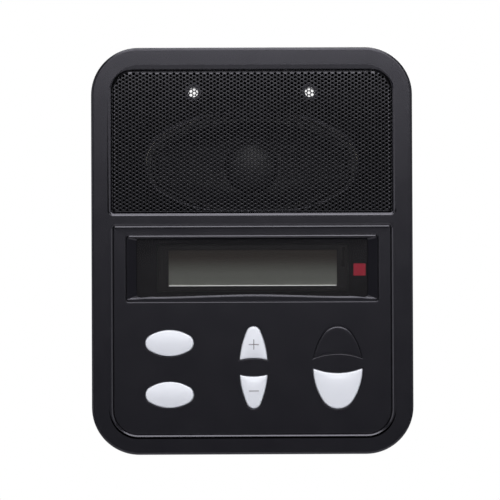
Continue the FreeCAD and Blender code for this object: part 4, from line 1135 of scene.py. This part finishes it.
def around_driver(*profiles):
    """Shapes turned round the driver's axis."""
    return [turned(0, driver_z, profile, ring_count) for profile in profiles]


def oval_ring(grow, y):
    """The driver's oval, grown."""
    return raised(driver_oval(grow), y)


def mixed_ring(outer, inner, share):
    """A ring on the way from an outer to an inner one."""
    return outer * (1 - share) + inner * share


# %% Surround
roll = np.linspace(0, 1, 13)
roll_front = [oval_ring(2.5, -6.5)] + [oval_ring(-3.5 * t, -6.5 - 1.5 * math.sin(math.pi * t)) for t in roll]
roll_back = [oval_ring(-3.5 * t, -6.0 - 1.4 * math.sin(math.pi * t)) for t in roll[::-1]]
roll_back += [oval_ring(2.5, -6.0)]
roll_back[0] = oval_ring(-3.5, -6.05)
piece("cloth_roll", [skin(roll_front + roll_back, ring=True)], roll_cloth, "surround_cloth",
      nodes=["cone_surround"], weighted=False, sharp=50)

# %% Cone, cap and coil
cone_steps = np.linspace(0, 1, 15)
ripple = 0.12 * np.sin(cone_steps * 9 * math.pi) * (cone_steps > 0.1) * (cone_steps < 0.62)
cone_front = [mixed_ring(oval_ring(-3.5, 0), round_ring(14.5, 0), s)
              + (0, -6.6 + 13.6 * s + 0.9 * math.sin(math.pi * s) + r, 0)
              for s, r in zip(cone_steps, ripple)]
cone_back = [row + (0, 0.6, 0) for row in cone_front[::-1]]
piece("paper_cone", [skin(cone_front + [round_ring(13.4, 7.0), round_ring(13.4, 7.6)] + cone_back,
                          ring=True)],
      cone_paper, "cone_paper", "cone_assembly", ["speaker_cone"], weighted=False, sharp=50)

cap_line = [(14.0, 7.0), (13.9, 6.6)] + [(13.9 * math.cos(a), 6.6 - 4.1 * math.sin(a))
                                         for a in np.linspace(0.06, math.pi / 2 - 0.001, 12)]
piece("pressed_cap", around_driver(cap_line + [(0.001, 2.5)], [(14.0, 7.0), (0.001, 7.0)]),
      cap_paper, "cap_felt", "cone_assembly", ["dust_cap"], weighted=False)

winding = [(13.3 - 0.05 * (k % 2), y) for k, y in enumerate(np.linspace(15.0, 20.8, 30))]
coil_line = [(12.5, 7.0), (13.15, 7.0), (13.15, 14.9)] + winding + [(13.15, 21.0), (12.5, 21.0)]
piece("coil", [skin([round_ring(r, y) for r, y in coil_line], ring=True)], copper, "coil_copper",
      "cone_assembly", ["voice_coil"], weighted=False)

# %% Spider
waves = np.linspace(0, 1, 41)
# The spider's waves die out towards the coil, so that it clears the cone at full travel.
spider_front = [round_ring(25.6, 9.0), round_ring(22.0, 9.0)] + [
    round_ring(22.0 - 8.6 * s, 9.0 - 0.45 * (1 - math.cos(6 * math.pi * s))
               * min(max((0.86 - s) / 0.25, 0), 1))
    for s in waves[1:]]
spider_back = [row + (0, 0.55, 0) for row in spider_front[::-1]]
piece("waved_cloth_disc", [skin(spider_front + spider_back, ring=True)], spider_cloth, "spider_cloth",
      nodes=["spider"], weighted=False, sharp=60)

# %% Basket
wall_steps = np.linspace(0, 1, 12)


def basket_row(s, thickness):
    """The sloping wall: an oval ring that becomes a circle as it goes back."""
    return mixed_ring(oval_ring(0.8 * thickness, 0), round_ring(26 + 0.8 * thickness, 0), s) + (
        0, -6 + 15.6 * s + 0.35 * thickness, 0)


inner_rows = [basket_row(s, 0) for s in wall_steps]
outer_rows = [basket_row(s, 1) for s in wall_steps]


def windowed(front_rows, back_rows, open_cells):
    """A wall of two layers of cells with some left out, closed round every edge: a side face
    stands wherever a kept cell has no kept neighbour."""
    n, m = len(front_rows), len(front_rows[0])
    points = np.concatenate(front_rows + back_rows)
    keep = ~open_cells
    j, i = np.nonzero(keep)
    a, b, c, d = j * m + i, j * m + (i + 1) % m, (j + 1) * m + (i + 1) % m, (j + 1) * m + i
    size = n * m
    faces = [np.stack([a, b, c, d], 1), np.stack([a + size, d + size, c + size, b + size], 1)]
    above = np.vstack([np.zeros((1, m), bool), keep[:-1]])
    below = np.vstack([keep[1:], np.zeros((1, m), bool)])
    for other, first, second in ((above, a, b), (below, d, c), (np.roll(keep, 1, 1), a, d),
                                 (np.roll(keep, -1, 1), b, c)):
        alone = ~other[j, i]
        faces.append(np.stack([first, second, second + size, first + size], 1)[alone])
    return points, np.concatenate(faces)


cells = np.zeros((len(wall_steps) - 1, ring_count), bool)
place_angle = np.degrees(np.arctan2(inner_rows[5][:, 2] - driver_z, np.abs(inner_rows[5][:, 0])))
cells[4:9] = (np.abs(place_angle) > 6) & (np.abs(place_angle) < 31)
flange = box_outline(0, 12, 76, 120, 18, 18, 12)
flange_holes = [circle(x, z, 1.7, 20) for x, z in speaker_screws]
basket = plate(-6, -5, flange, driver_oval(0.3), *flange_holes, edge=0.2)
basket.append(windowed(inner_rows, outer_rows, cells))
basket.append(skin([round_ring(26.0, 9.6), round_ring(22.0, 9.6), round_ring(22.0, 13.6),
                    round_ring(15.0, 13.6),
                    round_ring(15.0, 14.4), round_ring(22.8, 14.4), round_ring(22.8, 10.4),
                    round_ring(26.8, 10.4)], ring=True))
piece("pressed_basket", basket, basket_steel, "pressed_steel", nodes=["speaker_frame"], sharp=40)

# %% Gasket, pot, plate and magnet
gasket = [oval_ring(3.0, -7.0), oval_ring(6.0, -7.0), oval_ring(6.0, -6.0), oval_ring(3.0, -6.0)]
piece("foam_gasket", [skin(gasket, ring=True)], gasket_foam, "foam", nodes=["speaker_gasket"])
pot_line = rounded([(13.8, 14.4), (18.5, 14.4), (18.5, 26.4), (6.0, 26.4), (6.0, 25.9), (0.001, 25.9)],
                   (0.3, 1.2, 0.2, 0.2), 5)
pot_inside = [(13.8, 14.4), (13.8, 23.4), (0.001, 23.4)]
piece("steel_pot", around_driver(pot_line, pot_inside), basket_steel, "pressed_steel", nodes=["magnet_pot"])
drum = [(0.001, 14.4), (11.7, 14.4), (12.0, 14.7), (12.0, 18.4), (0.001, 18.4)]
piece("steel_plate", around_driver(drum), basket_steel, "pressed_steel", nodes=["pole_plate"])
drum = [(0.001, 18.4), (12.0, 18.4), (12.0, 23.4), (0.001, 23.4)]
piece("ferrite_disc", around_driver(drum), ferrite, "ferrite", nodes=["speaker_magnet"])

# %% Terminal strip and leads
strip = bar(-37, -23, -5.0, -3.8, 12.5, 18.5, 0.2)
for x in (-33, -27):
    strip += bar(x - 1.2, x + 1.2, -4.4, -0.5, 15.0, 16.0, 0.2)
piece("lug_strip", strip, phenolic, "strip_phenolic", nodes=["terminal_strip"])


def directions(path):
    """The unit direction of a path at each of its points."""
    ahead = np.gradient(path, axis=0)
    return ahead / np.linalg.norm(ahead, axis=1)[:, None]


def tube(points, radius, count=12):
    """A round tube along points: at each point a circle square to the direction there."""
    points = np.array(points, float)
    ahead = directions(points)
    side = np.cross(ahead, (1.0, 0, 0))
    side /= np.linalg.norm(side, axis=1)[:, None]
    other = np.cross(ahead, side)
    angle = full_turn(count)[:, None]
    rows = [p + radius * (np.cos(angle) * s + np.sin(angle) * o) for p, s, o in zip(points, side, other)]
    ends = [np.repeat(points[:1], count, 0), np.repeat(points[-1:], count, 0)]
    return skin([ends[0]] + rows + [ends[1]])


def smooth_path(points, steps=10):
    """A curve through control points: quadratic arcs between the middles of the runs."""
    points = np.array(points, float)
    middles = (points[1:] + points[:-1]) / 2
    t = np.linspace(0, 1, steps)[:, None]
    path = [points[:1]]
    for a, b, c in zip(middles, points[1:-1], middles[1:]):
        path.append(((1 - t) ** 2 * a + 2 * t * (1 - t) * b + t ** 2 * c)[:-1])
    return np.concatenate(path + [middles[-1:], points[-1:]])


for side, name, finish in ((-1, "left_lead", lead_red), (1, "right_lead", lead_black)):
    x0, x1 = -52 + side * 1.25, -30 + side * 3
    path = smooth_path([(x0, 2.3, -39.4), (x0, 2.35, -19.4), (x1, -2.1, -1.1), (x1, -2.15, 14.9)])
    nodes = ["speaker_leads"] if side < 0 else []
    piece(name, [tube(path, 0.75)], finish, "lead_pvc", nodes=nodes, weighted=False)
    piece(name + "_joint", bar(x1 - 0.9, x1 + 0.9, -3.2, -0.9, 14.6, 15.4, 0.35),
          solder, "plated_steel")

# %% [markdown]
# ## Key mat
# Under the keys lies one mat of moulded silicone rubber with a dome for each key.
# A dome flattens when its key goes in, so each is a piece of its own that is
# squashed along the key's way, while the sheet between them stays as it is.

# %% Rubber mat and its domes
mat_holes = [circle(side * 21, -59.9, 4.1, 24) for side in (-1, 1)]
piece("rubber_mat", plate(-8.0, -7.0, box_outline(0, -86, -38, 112, 2.0, 2.0, 6), *mat_holes, edge=0.2),
      silicone, "silicone_mat", nodes=["keypad_mat"])
dome_line = [(0.001, -7.9), (5.4, -7.9)] + rounded([(5.4, -8.02), (4.7, -8.1), (3.2, -10.5), (0.001, -10.5)],
                                                   (0.5, 0.8), 5).tolist()
for name, (x, z) in key_nodes.items():
    dome = piece(name + "_dome", [turned(x, z, dome_line, 32)], silicone, "silicone_mat", weighted=False)
    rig.squash(dome, name + "_press", axis=(0, 1, 0), anchor=(x / 1000, -0.008, z / 1000), keep=0.6)

# %% [markdown]
# ## Screws
# All screws are the same small pan heads with a cross recess. The round head is
# turned, the recess is a hole in its flat top, and the thread is a shank whose
# radius swings between root and crest.

# %% Pan heads with a cross recess
def cross(x, z, length, width, turn=0.0):
    """A cross of two bars as one outline, turned about its middle."""
    a, b = length / 2, width / 2
    loop = np.array([(a, -b), (a, b), (b, b), (b, a), (-b, a), (-b, b), (-a, b), (-a, -b), (-b, -b), (-b, -a),
                     (b, -a), (b, -b)])
    c, s = math.cos(turn), math.sin(turn)
    return loop @ np.array([(c, s), (-s, c)]) + (x, z)


def pan_screw(x, seat, z, reach, turn):
    """A pan head on a seat at a depth, over a threaded shank of a given reach."""
    depths = np.arange(seat - reach + 0.5, seat - 0.2, 0.45)
    thread = [(1.3 - 0.28 * (k % 2), y) for k, y in enumerate(depths)]
    top, recess = seat + 1.8, cross(x, z, 2.5, 0.75, turn)
    head = rounded([(1.3, seat), (2.75, seat), (2.75, top), (1.5, top)], (0.1, 1.15), 5).tolist()
    return [turned(x, z, [(0.001, seat - reach), (0.9, seat - reach)] + thread + head, 28),
            flat(top, circle(x, z, 1.5, 28), recess), run(recess, [(0, top), (-0.12, top - 1.0)]),
            flat(top - 1.0, grown(recess, -0.12))]


def screw_set(name, places, seat, reach):
    """All the screws of one kind, each stopped at its own angle."""
    parts = [part for k, (x, z) in enumerate(places) for part in pan_screw(x, seat, z, reach, 0.4 + 1.3 * k)]
    return piece(name + "_pan_heads", parts, zinc, "plated_steel", nodes=[name])


screw_set("board_screws", board_screws, board_back, 7.6)
screw_set("module_screws", module_screws, module_back, 5.6)
screw_set("speaker_screws", speaker_screws, -5.0, 4.9)

# %% [markdown]
# ## Terminal block
# The block is a green moulding with a row of wire entries along its lower side and
# a screw well over each. Its two layers of holes lie square to each other, so one
# plate is made as the others are, and the second is the same plate with its depth
# and height changed about.

# %% Terminal block with its screws
def upright(surfaces):
    """Changes depth and height about, so that what was carried along Y runs along Z."""
    return [(points[:, [0, 2, 1]], faces) for points, faces in surfaces]


ways = [-18 + (k - 2.5) * 5.08 for k in range(6)]
wells = [box_outline(x, -86, -82, 4.0, 0.3, 0.3, 2) for x in ways]
entries = [box_outline(x, -3.9, -0.4, 3.0, 0.2, 0.2, 2) for x in ways]
block = plate(-0.2, 4.6, box_outline(-18, -88.5, -81.75, 30.48, 0.3, 0.3, 3), *wells, edge=0.3)
block += upright(plate(-88.45, -84.0, box_outline(-18, -5.4, 0.6, 30.4, 0.3, 0.3, 3), *entries, edge=0.25))
block += bar(-33.2, -2.8, board_back, 0.6, -85.0, -79.5, 0.3)
for x in ways[:-1]:
    block += bar(x + 2.34, x + 2.74, -0.2, 4.6, -88.48, -88.3, 0.08)
piece("terminal_moulding", block, terminal_pa, "terminal_green", nodes=["terminal_block"])


def slot_screw(x, z, turn):
    """A cheese head with one slot."""
    slot = cross(x, z, 2.3, 0.5, turn)[[0, 1, 6, 7]]
    return [turned(x, z, [(0.001, 0.62), (1.6, 0.62), (1.6, 3.05), (1.35, 3.3)], 28),
            flat(3.3, circle(x, z, 1.35, 28), slot), run(slot, [(0, 3.3), (0, 2.5)]), flat(2.5, slot)]


slotted = [part for k, x in enumerate(ways) for part in slot_screw(x, -84, 0.25 + 0.9 * k)]
piece("slotted_heads", slotted, zinc, "plated_steel", nodes=["terminal_screws"])

# %% [markdown]
# ## Parts on the boards
# Chips are moulded resin with bent tinned pins, the cans wear a shrink sleeve with
# a pale stripe, and their aluminium tops are scored so that they can vent. Pins,
# tracks and printed lines are all thin strips laid along a path.

# %% Strips along a path
def strap(path, width, thickness, across=None):
    """A strip along a path: at each point it reaches half its width to both sides and half its
    thickness up and down. It lies flat on a board unless the direction of its width is given."""
    path = np.array(path, float)
    ahead = directions(path)
    side = np.cross((0, 1.0, 0), ahead) if across is None else np.broadcast_to(across, path.shape)
    up = np.cross(ahead, side) * thickness / 2
    side = side * width / 2
    rows = np.stack([path + side + up, path - side + up, path - side - up, path + side - up], 1)
    return skin([np.repeat(path[:1], 4, 0), *rows, np.repeat(path[-1:], 4, 0)])


def gull_pin(x, z, out, top, foot, reach=1.3, width=0.42):
    """A pin that leaves a chip sideways, drops to the board and ends in a flat foot."""
    out = np.array([out[0], 0, out[1]], float)
    start = np.array([x, 0, z], float)
    bend = ((-0.2, top), (0.3, top), (0.55, top - 0.2), (0.62, foot + 0.25), (0.75, foot + 0.08),
            (reach, foot + 0.08))
    return strap([start + out * along + (0, y, 0) for along, y in bend], width, 0.15,
                 across=np.cross(out, (0, 1.0, 0)))


def chip_body(x, z, width, height, y0, y1, dimple):
    """A moulded body with a round dimple at its first pin."""
    loop, spot = box_outline(x, z - height / 2, z + height / 2, width, 0.3, 0.3, 2), circle(*dimple, 0.45, 14)
    inner = grown(loop, -0.25)
    return [run(loop, [(-0.25, y0), (0, (y0 + y1) / 2), (-0.25, y1)]), flat(y0, inner), flat(y1, inner, spot),
            run(spot, [(0, y1), (-0.1, y1 - 0.15)]), flat(y1 - 0.15, grown(spot, -0.1))]


# %% Chips and their pins
chip_x, chip_z = -8.0, -55.0
pins = []
for k in range(11):
    step = k - 5.0
    for out in ((1, 0), (-1, 0), (0, 1), (0, -1)):
        x, z = (chip_x + out[0] * 5.7, chip_z + step) if out[0] else (chip_x + step, chip_z + out[1] * 5.7)
        pins.append(gull_pin(x, z, out, -4.25, board_back))
piece("controller_body", chip_body(chip_x, chip_z, 11.6, 11.6, -5.15, -3.2, (chip_x - 4.5, chip_z + 4.5)),
      epoxy_black, "black_resin", nodes=["controller_chip"])
small_chips = [(-37.5, -52, 0), (53, -42.5, 0), (25.5, -46.5, 1)]
small_bodies = []
for x, z, turned_round in small_chips:
    small_bodies += chip_body(x, z, *((5.0, 4.0) if turned_round else (4.0, 5.0)), -5.25, -3.9,
                              (x - 1.2, z + 1.2))
    for k in range(4):
        for side in (-1, 1):
            step = (k - 1.5) * 1.27
            out = (0, side) if turned_round else (side, 0)
            where = (x + step, z + side * 1.9) if turned_round else (x + side * 1.9, z + step)
            pins.append(gull_pin(*where, out, -4.7, board_back))
piece("small_chip_bodies", small_bodies, epoxy_black, "black_resin")
piece("tinned_pins", pins, solder, "plated_steel", weighted=False)

# %% Amplifier on its edge, crystal and cans
notch = np.array([(32, -4.1), (52, -4.1), (52, 5.6), (43.7, 5.6), (43.7, 3.9), (42.7, 3.0), (41.3, 3.0),
                  (40.3, 3.9), (40.3, 5.6), (32, 5.6)], float)
piece("amplifier_body", upright(plate(-54.0, -50.7, notch, edge=0.2)), epoxy_black, "black_resin",
      nodes=["amplifier_chip"])
piece("amplifier_tab", upright(plate(-50.75, -50.0, notch, edge=0.08)), can_aluminium, "plated_steel")
legs = sum([bar(x - 0.3, x + 0.3, board_back, -3.9, -52.5, -52.1, 0.08) for x in range(34, 51, 2)], [])
crystal = plate(board_back + 0.4, -1.9, box_outline(10, -52.3, -47.7, 10.9, 2.25, 2.25, 8), edge=0.5)
crystal += plate(board_back, board_back + 0.5, box_outline(10, -52.5, -47.5, 11.4, 2.45, 2.45, 8), edge=0.12)
piece("crystal_can", crystal + legs, zinc, "plated_steel")

can_places, can_z = (18.0, 29.0, 40.0), -86.0
can_corners = [(3.5, board_back), (4.0, board_back), (4.0, -4.1), (3.62, -3.75), (4.0, -3.4), (4.0, 3.6),
               (3.2, 3.6), (3.1, 3.42)]
can_line = [(0.001, board_back)] + rounded(can_corners, (0.3, 0.25, 0.3, 0.25, 0.4, 0.15), 4).tolist()
sleeves, tops, stripes = [], [], []
for k, x in enumerate(can_places):
    z, vent = can_z, cross(x, can_z, 4.4, 0.3, 0.5 + k)
    sleeves.append(turned(x, z, can_line + [(3.1, 3.0), (0.001, 3.0)], 40))
    tops += [turned(x, z, [(0.001, 3.1), (3.15, 3.1), (3.15, 3.4), (3.05, 3.45)], 40),
             flat(3.45, circle(x, z, 3.05, 40), vent),
             run(vent, [(0, 3.45), (-0.08, 3.3)]), flat(3.3, grown(vent, -0.08))]
    angle = np.radians(60 + 25 * k + np.linspace(-17, 17, 9))
    arc = np.stack([np.cos(angle), np.sin(angle)], 1)
    stripes += plate(-3.2, 3.2, np.concatenate([4.03 * arc, 3.9 * arc[::-1]]) + (x, z))
piece("shrink_sleeves", sleeves, sleeve_pvc, "capacitor_sleeve", nodes=["capacitors"])
piece("scored_tops", tops, can_aluminium, "plated_steel")
piece("sleeve_stripes", stripes, sign_ink, "capacitor_sleeve")

# %% Socket, plug and resin drops
socket_loop = box_outline(-52, -45, -39, 8, 0.4, 0.4, 3)
socket_room = box_outline(-52, -44.2, -39.8, 6.4, 0.2, 0.2, 2)
socket = plate(-4.4, 0.6, socket_loop, socket_room, edge=0.2) + plate(board_back, -4.4, socket_loop, edge=0.1)
piece("speaker_shroud", socket, nylon, "connector_nylon", nodes=["speaker_socket"])
plug = bar(-55.6, -48.4, 0.6, 4.1, -44.6, -39.4, 0.35) + bar(-54.9, -49.1, -3.6, 0.8, -44.0, -40.0, 0.2)
for x in (-53.25, -50.75):
    plug += bar(x - 0.9, x + 0.9, 1.2, 3.4, -39.6, -39.0, 0.2)
plug += bar(-53.2, -50.8, 0.6, 3.7, -44.85, -44.3, 0.2)
piece("plug_body", plug, nylon, "connector_nylon", nodes=["speaker_plug"])
drop_radius, drop_height = 7.0, 1.6
drop_line = [(0.001, module_back)]
drop_line += [(drop_radius * math.cos(a) ** 0.6, module_back + drop_height * math.sin(a))
              for a in np.linspace(0, math.pi / 2 - 0.02, 12)]
drop_line += [(0.001, module_back + drop_height)]
drops = [turned(module_x + side * 22, module_z, drop_line, 48) for side in (-1, 1)]
piece("resin_drops", drops, resin, "black_resin", nodes=["chip_drops"], weighted=False)

# %% [markdown]
# ## Ribbon, tracks and small parts
# The ribbon has a ridge over each wire: its skin is a function of the place across
# it, a row of ridges, and of the place along its bend. The tracks are copper under
# the green resist, so they are laid as strips that stand a hair above the board.

# %% Ribbon jumper
pad_places = module_x + (np.arange(16) - 7.5) * 2.5
ribbon_line = smooth_path([(-20, -4.02, -21.3), (-20, -4.02, -23.6), (-20, -0.9, -25.6), (-20, -0.05, -29.4),
                           (-20, -0.9, -33.2), (-20, -5.12, -35.2), (-20, -5.12, -37.5)], 9)
ribbon_up = np.cross(directions(ribbon_line), (-1.0, 0, 0))
across = np.linspace(-1, 1, 16 * 8 + 1)
ridge = 0.13 + 0.11 * np.abs(np.cos(across * 8 * math.pi + math.pi / 2)) ** 0.7
ribbon_rows = []
for p, up in zip(ribbon_line, ribbon_up):
    line = raised(np.stack([module_x + 19.9 * across, np.full(len(across), p[2])], 1), p[1])
    lift = up * ridge[:, None]
    ribbon_rows.append(np.concatenate([line + lift, (line - lift)[::-1]]))
ends = [np.repeat(row.mean(0)[None], len(row), 0) for row in (ribbon_rows[0], ribbon_rows[-1])]
piece("ribbon_jumper", [skin([ends[0], *ribbon_rows, ends[1]])], ribbon_pvc, "ribbon_grey",
      nodes=["board_ribbon"], weighted=False, sharp=60)

# %% Tracks on both boards
tracks, dots = [], []


def track(points, y, width=0.4):
    """A track a hair above a board, laid through the given points."""
    tracks.append(strap([(x, y + 0.02, z) for x, z in points], width, 0.05))


def dot(x, z, y, radius=0.45):
    """A small dome of solder on a pad."""
    dots.append(turned(x, z, [(0.001, y), (radius, y), (0.8 * radius, y + 0.1), (0.35 * radius, y + 0.22),
                              (0.001, y + 0.25)], 12))


for x in pad_places:
    dot(x, -38.6, board_back, 0.8)
    dot(x, -20.3, module_back, 0.8)
for k in range(11):
    x0, x1, step = pad_places[k], chip_x + k - 5.0, k - 5.0
    track([(x0, -38.6), (x0, -39.4), (x1, -39.4 - 0.85 * abs(x1 - x0)), (x1, -48.2)], board_back)
    right, z0, z1 = 16 + k % 3 * 1.6, chip_z - step, chip_z - 1.6 * step
    track([(chip_x + 6.9, z0), (4, z0), (4 + abs(z1 - z0), z1), (right, z1)], board_back)
    dot(right, z1, board_back)
    if k < 7:
        left = -25 - k % 3 * 1.6
        track([(chip_x - 6.9, z0), (-19, z0), (-19 - abs(z1 - z0), z1), (left, z1)], board_back)
        dot(left, z1, board_back)
for k in range(6):
    x0, x1 = chip_x + k - 5.0, ways[k]
    track([(x0, -61.8), (x0, -62.2), (x1, -62.2 - 0.95 * abs(x1 - x0)), (x1, -79.3)], board_back, 0.6)
for k in range(5):
    x0, x1, z0 = chip_x + 1.0 + k, 1.0 + 2.6 * k, -66.5 + 1.1 * k
    track([(x0, -61.8), (x0, z0), (x1, z0 - (x1 - x0)), (x1, -76 - k % 2)], board_back)
    dot(x1, -76 - k % 2, board_back)
for points in ([(-2.5, -84), (8, -84), (10, -82), (14, -82)], [(22, -86), (25, -86)], [(33, -86), (36, -86)],
               [(40, -81.5), (40, -66), (36, -62), (36, -52.6)],
               [(48, -52.6), (48, -66), (54, -72), (54, -92)],
               [(-50.8, -45.3), (-50.8, -60), (-46, -65), (-46, -78), (-40, -84), (-33.5, -84)],
               [(-53.2, -45.3), (-53.2, -62), (-49, -66.5), (-49, -90), (-46, -93)]):
    track(points, board_back, 1.5)
for side in (-1, 1):
    for k in range(12):
        x0, shift = module_x + side * 22 + (k - 5.5) * 0.95, (k - 5.5) * 0.9
        track([(x0, -3), (x0, 0.6), (x0 + shift, 0.6 + abs(shift)), (x0 + shift, 8.4)], module_back, 0.35)
        dot(x0 + shift, 8.4, module_back, 0.35)
    for k in range(8):
        x0 = pad_places[7 - k] if side < 0 else pad_places[8 + k]
        z1 = -13.4 + 1.2 * (5 - k)
        inner = module_x + side * 15.6
        track([(x0, -20.3), (x0, z1), (inner, z1)] if k < 5 else [(x0, -20.3), (x0, -13)], module_back, 0.35)
print(len(tracks), "tracks,", len(dots), "solder dots")
piece("copper_tracks", tracks, copper_under_resist, "circuit_board", weighted=False)
piece("solder_dots", dots, solder, "plated_steel", weighted=False)

# %% Small surface parts and frame tabs
# Each small part's place, whether it stands upright, and whether it is tan or dark.
bodies_dark, bodies_tan, end_caps = [], [], []
places = [(x, z, 0, 0) for x in (-46.5, -43.2) for z in (-48, -51, -54, -57, -60)]
places += [(x, z, 1, 1) for x in (-32.5, -30.4) for z in (-46.5, -50.5, -56.0)]
places += [(x, -40.5, 1, k % 2) for k, x in enumerate(np.arange(26, 47, 3.0))]
places += [(x, -57.5, 1, 1) for x in (28, 31, 53, 56)]
places += [(56, z, 0, k % 2) for k, z in enumerate((-47.5, -50.5, -53.5))]
places += [(0.8, -46.5, 0, 1), (-17, -47.5, 0, 1), (2.2, -61.5, 1, 1), (48, -84, 1, 0), (51, -84, 1, 0),
           (48, -89, 1, 1)]
for x, z, upwards, tan in places:
    w, h = (1.3, 2.0) if upwards else (2.0, 1.3)
    body, thick, cap_thick = (bodies_tan, 0.8, 0.84) if tan else (bodies_dark, 0.5, 0.54)
    body += bar(x - w / 2, x + w / 2, board_back, board_back + thick, z - h / 2, z + h / 2, 0.06)
    for shift in (-0.95, 0.95):
        cx, cz, w2, h2 = (x, z + shift, 1.36, 0.5) if upwards else (x + shift, z, 0.5, 1.36)
        end_caps += bar(cx - w2 / 2, cx + w2 / 2, board_back, board_back + cap_thick, cz - h2 / 2,
                        cz + h2 / 2, 0.08)
piece("resistor_bodies", bodies_dark, epoxy_black, "black_resin", weighted=False)
piece("ceramic_bodies", bodies_tan, ceramic_tan, "strip_phenolic", weighted=False)
piece("tinned_ends", end_caps, solder, "plated_steel", weighted=False)
tabs = []
twist = np.array([(0.8, 0.6), (-0.6, 0.8)])
for x, z in ((-36, 3.0), (0.3, 3.0), (36.6, 3.0), (-36, -20.6), (36.6, -20.6)):
    corners = np.array([(1.6, -0.25), (1.6, 0.25), (-1.6, 0.25), (-1.6, -0.25)]) @ twist
    tabs += plate(module_back - 0.1, module_back + 1.2, corners + (x, z), edge=0.08)
piece("frame_tabs", tabs, frame_black, "display_frame")


# %% Printed lines
def printed(x0, x1, z0, z1, y):
    """A thin printed rectangle round a part."""
    corners = [(x0, z0), (x1, z0), (x1, z1), (x0, z1), (x0, z0)]
    return [strap([(a[0], y + 0.015, a[1]), (b[0], y + 0.015, b[1])], 0.22, 0.03)
            for a, b in zip(corners, corners[1:])]


lines = printed(-34, -2, -89, -79, board_back) + printed(-57, -47, -46, -38, board_back)
lines += printed(31, 53, -55, -49, board_back) + printed(3.5, 16.5, -53.2, -46.8, board_back)
for x, z, turned_round in small_chips:
    lines += printed(x - 3.8, x + 3.8, z - 3.8, z + 3.8, board_back)
for x in can_places:
    lines.append(skin([raised(circle(x, can_z, r, 40), board_back + h)
                       for r, h in ((4.5, 0.0), (4.5, 0.03), (4.7, 0.03), (4.7, 0.0))], ring=True))
piece("printed_outlines", lines, board_print, "circuit_board", weighted=False)

# %% [markdown]
# ## Solids that stay
# Both boards, the light guide and the small lamp are plain plates and blocks on the
# real station too. So their solids stay in the scene and only get their finish.

# %% Finishes on the solids that stay
for name, finish in (("control_board", board_green), ("module_board", board_green),
                     ("light_guide", guide_white), ("signal_lamp", lamp_epoxy)):
    for place in frame["nodes"][name].material_slots:
        place.material = finish
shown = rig.table()
print("pieces", len(shown["pieces"]))

# %% Boxes
json.dump({"cad": solid_box, "visual": corner_lists()}, open("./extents.json", "w"))
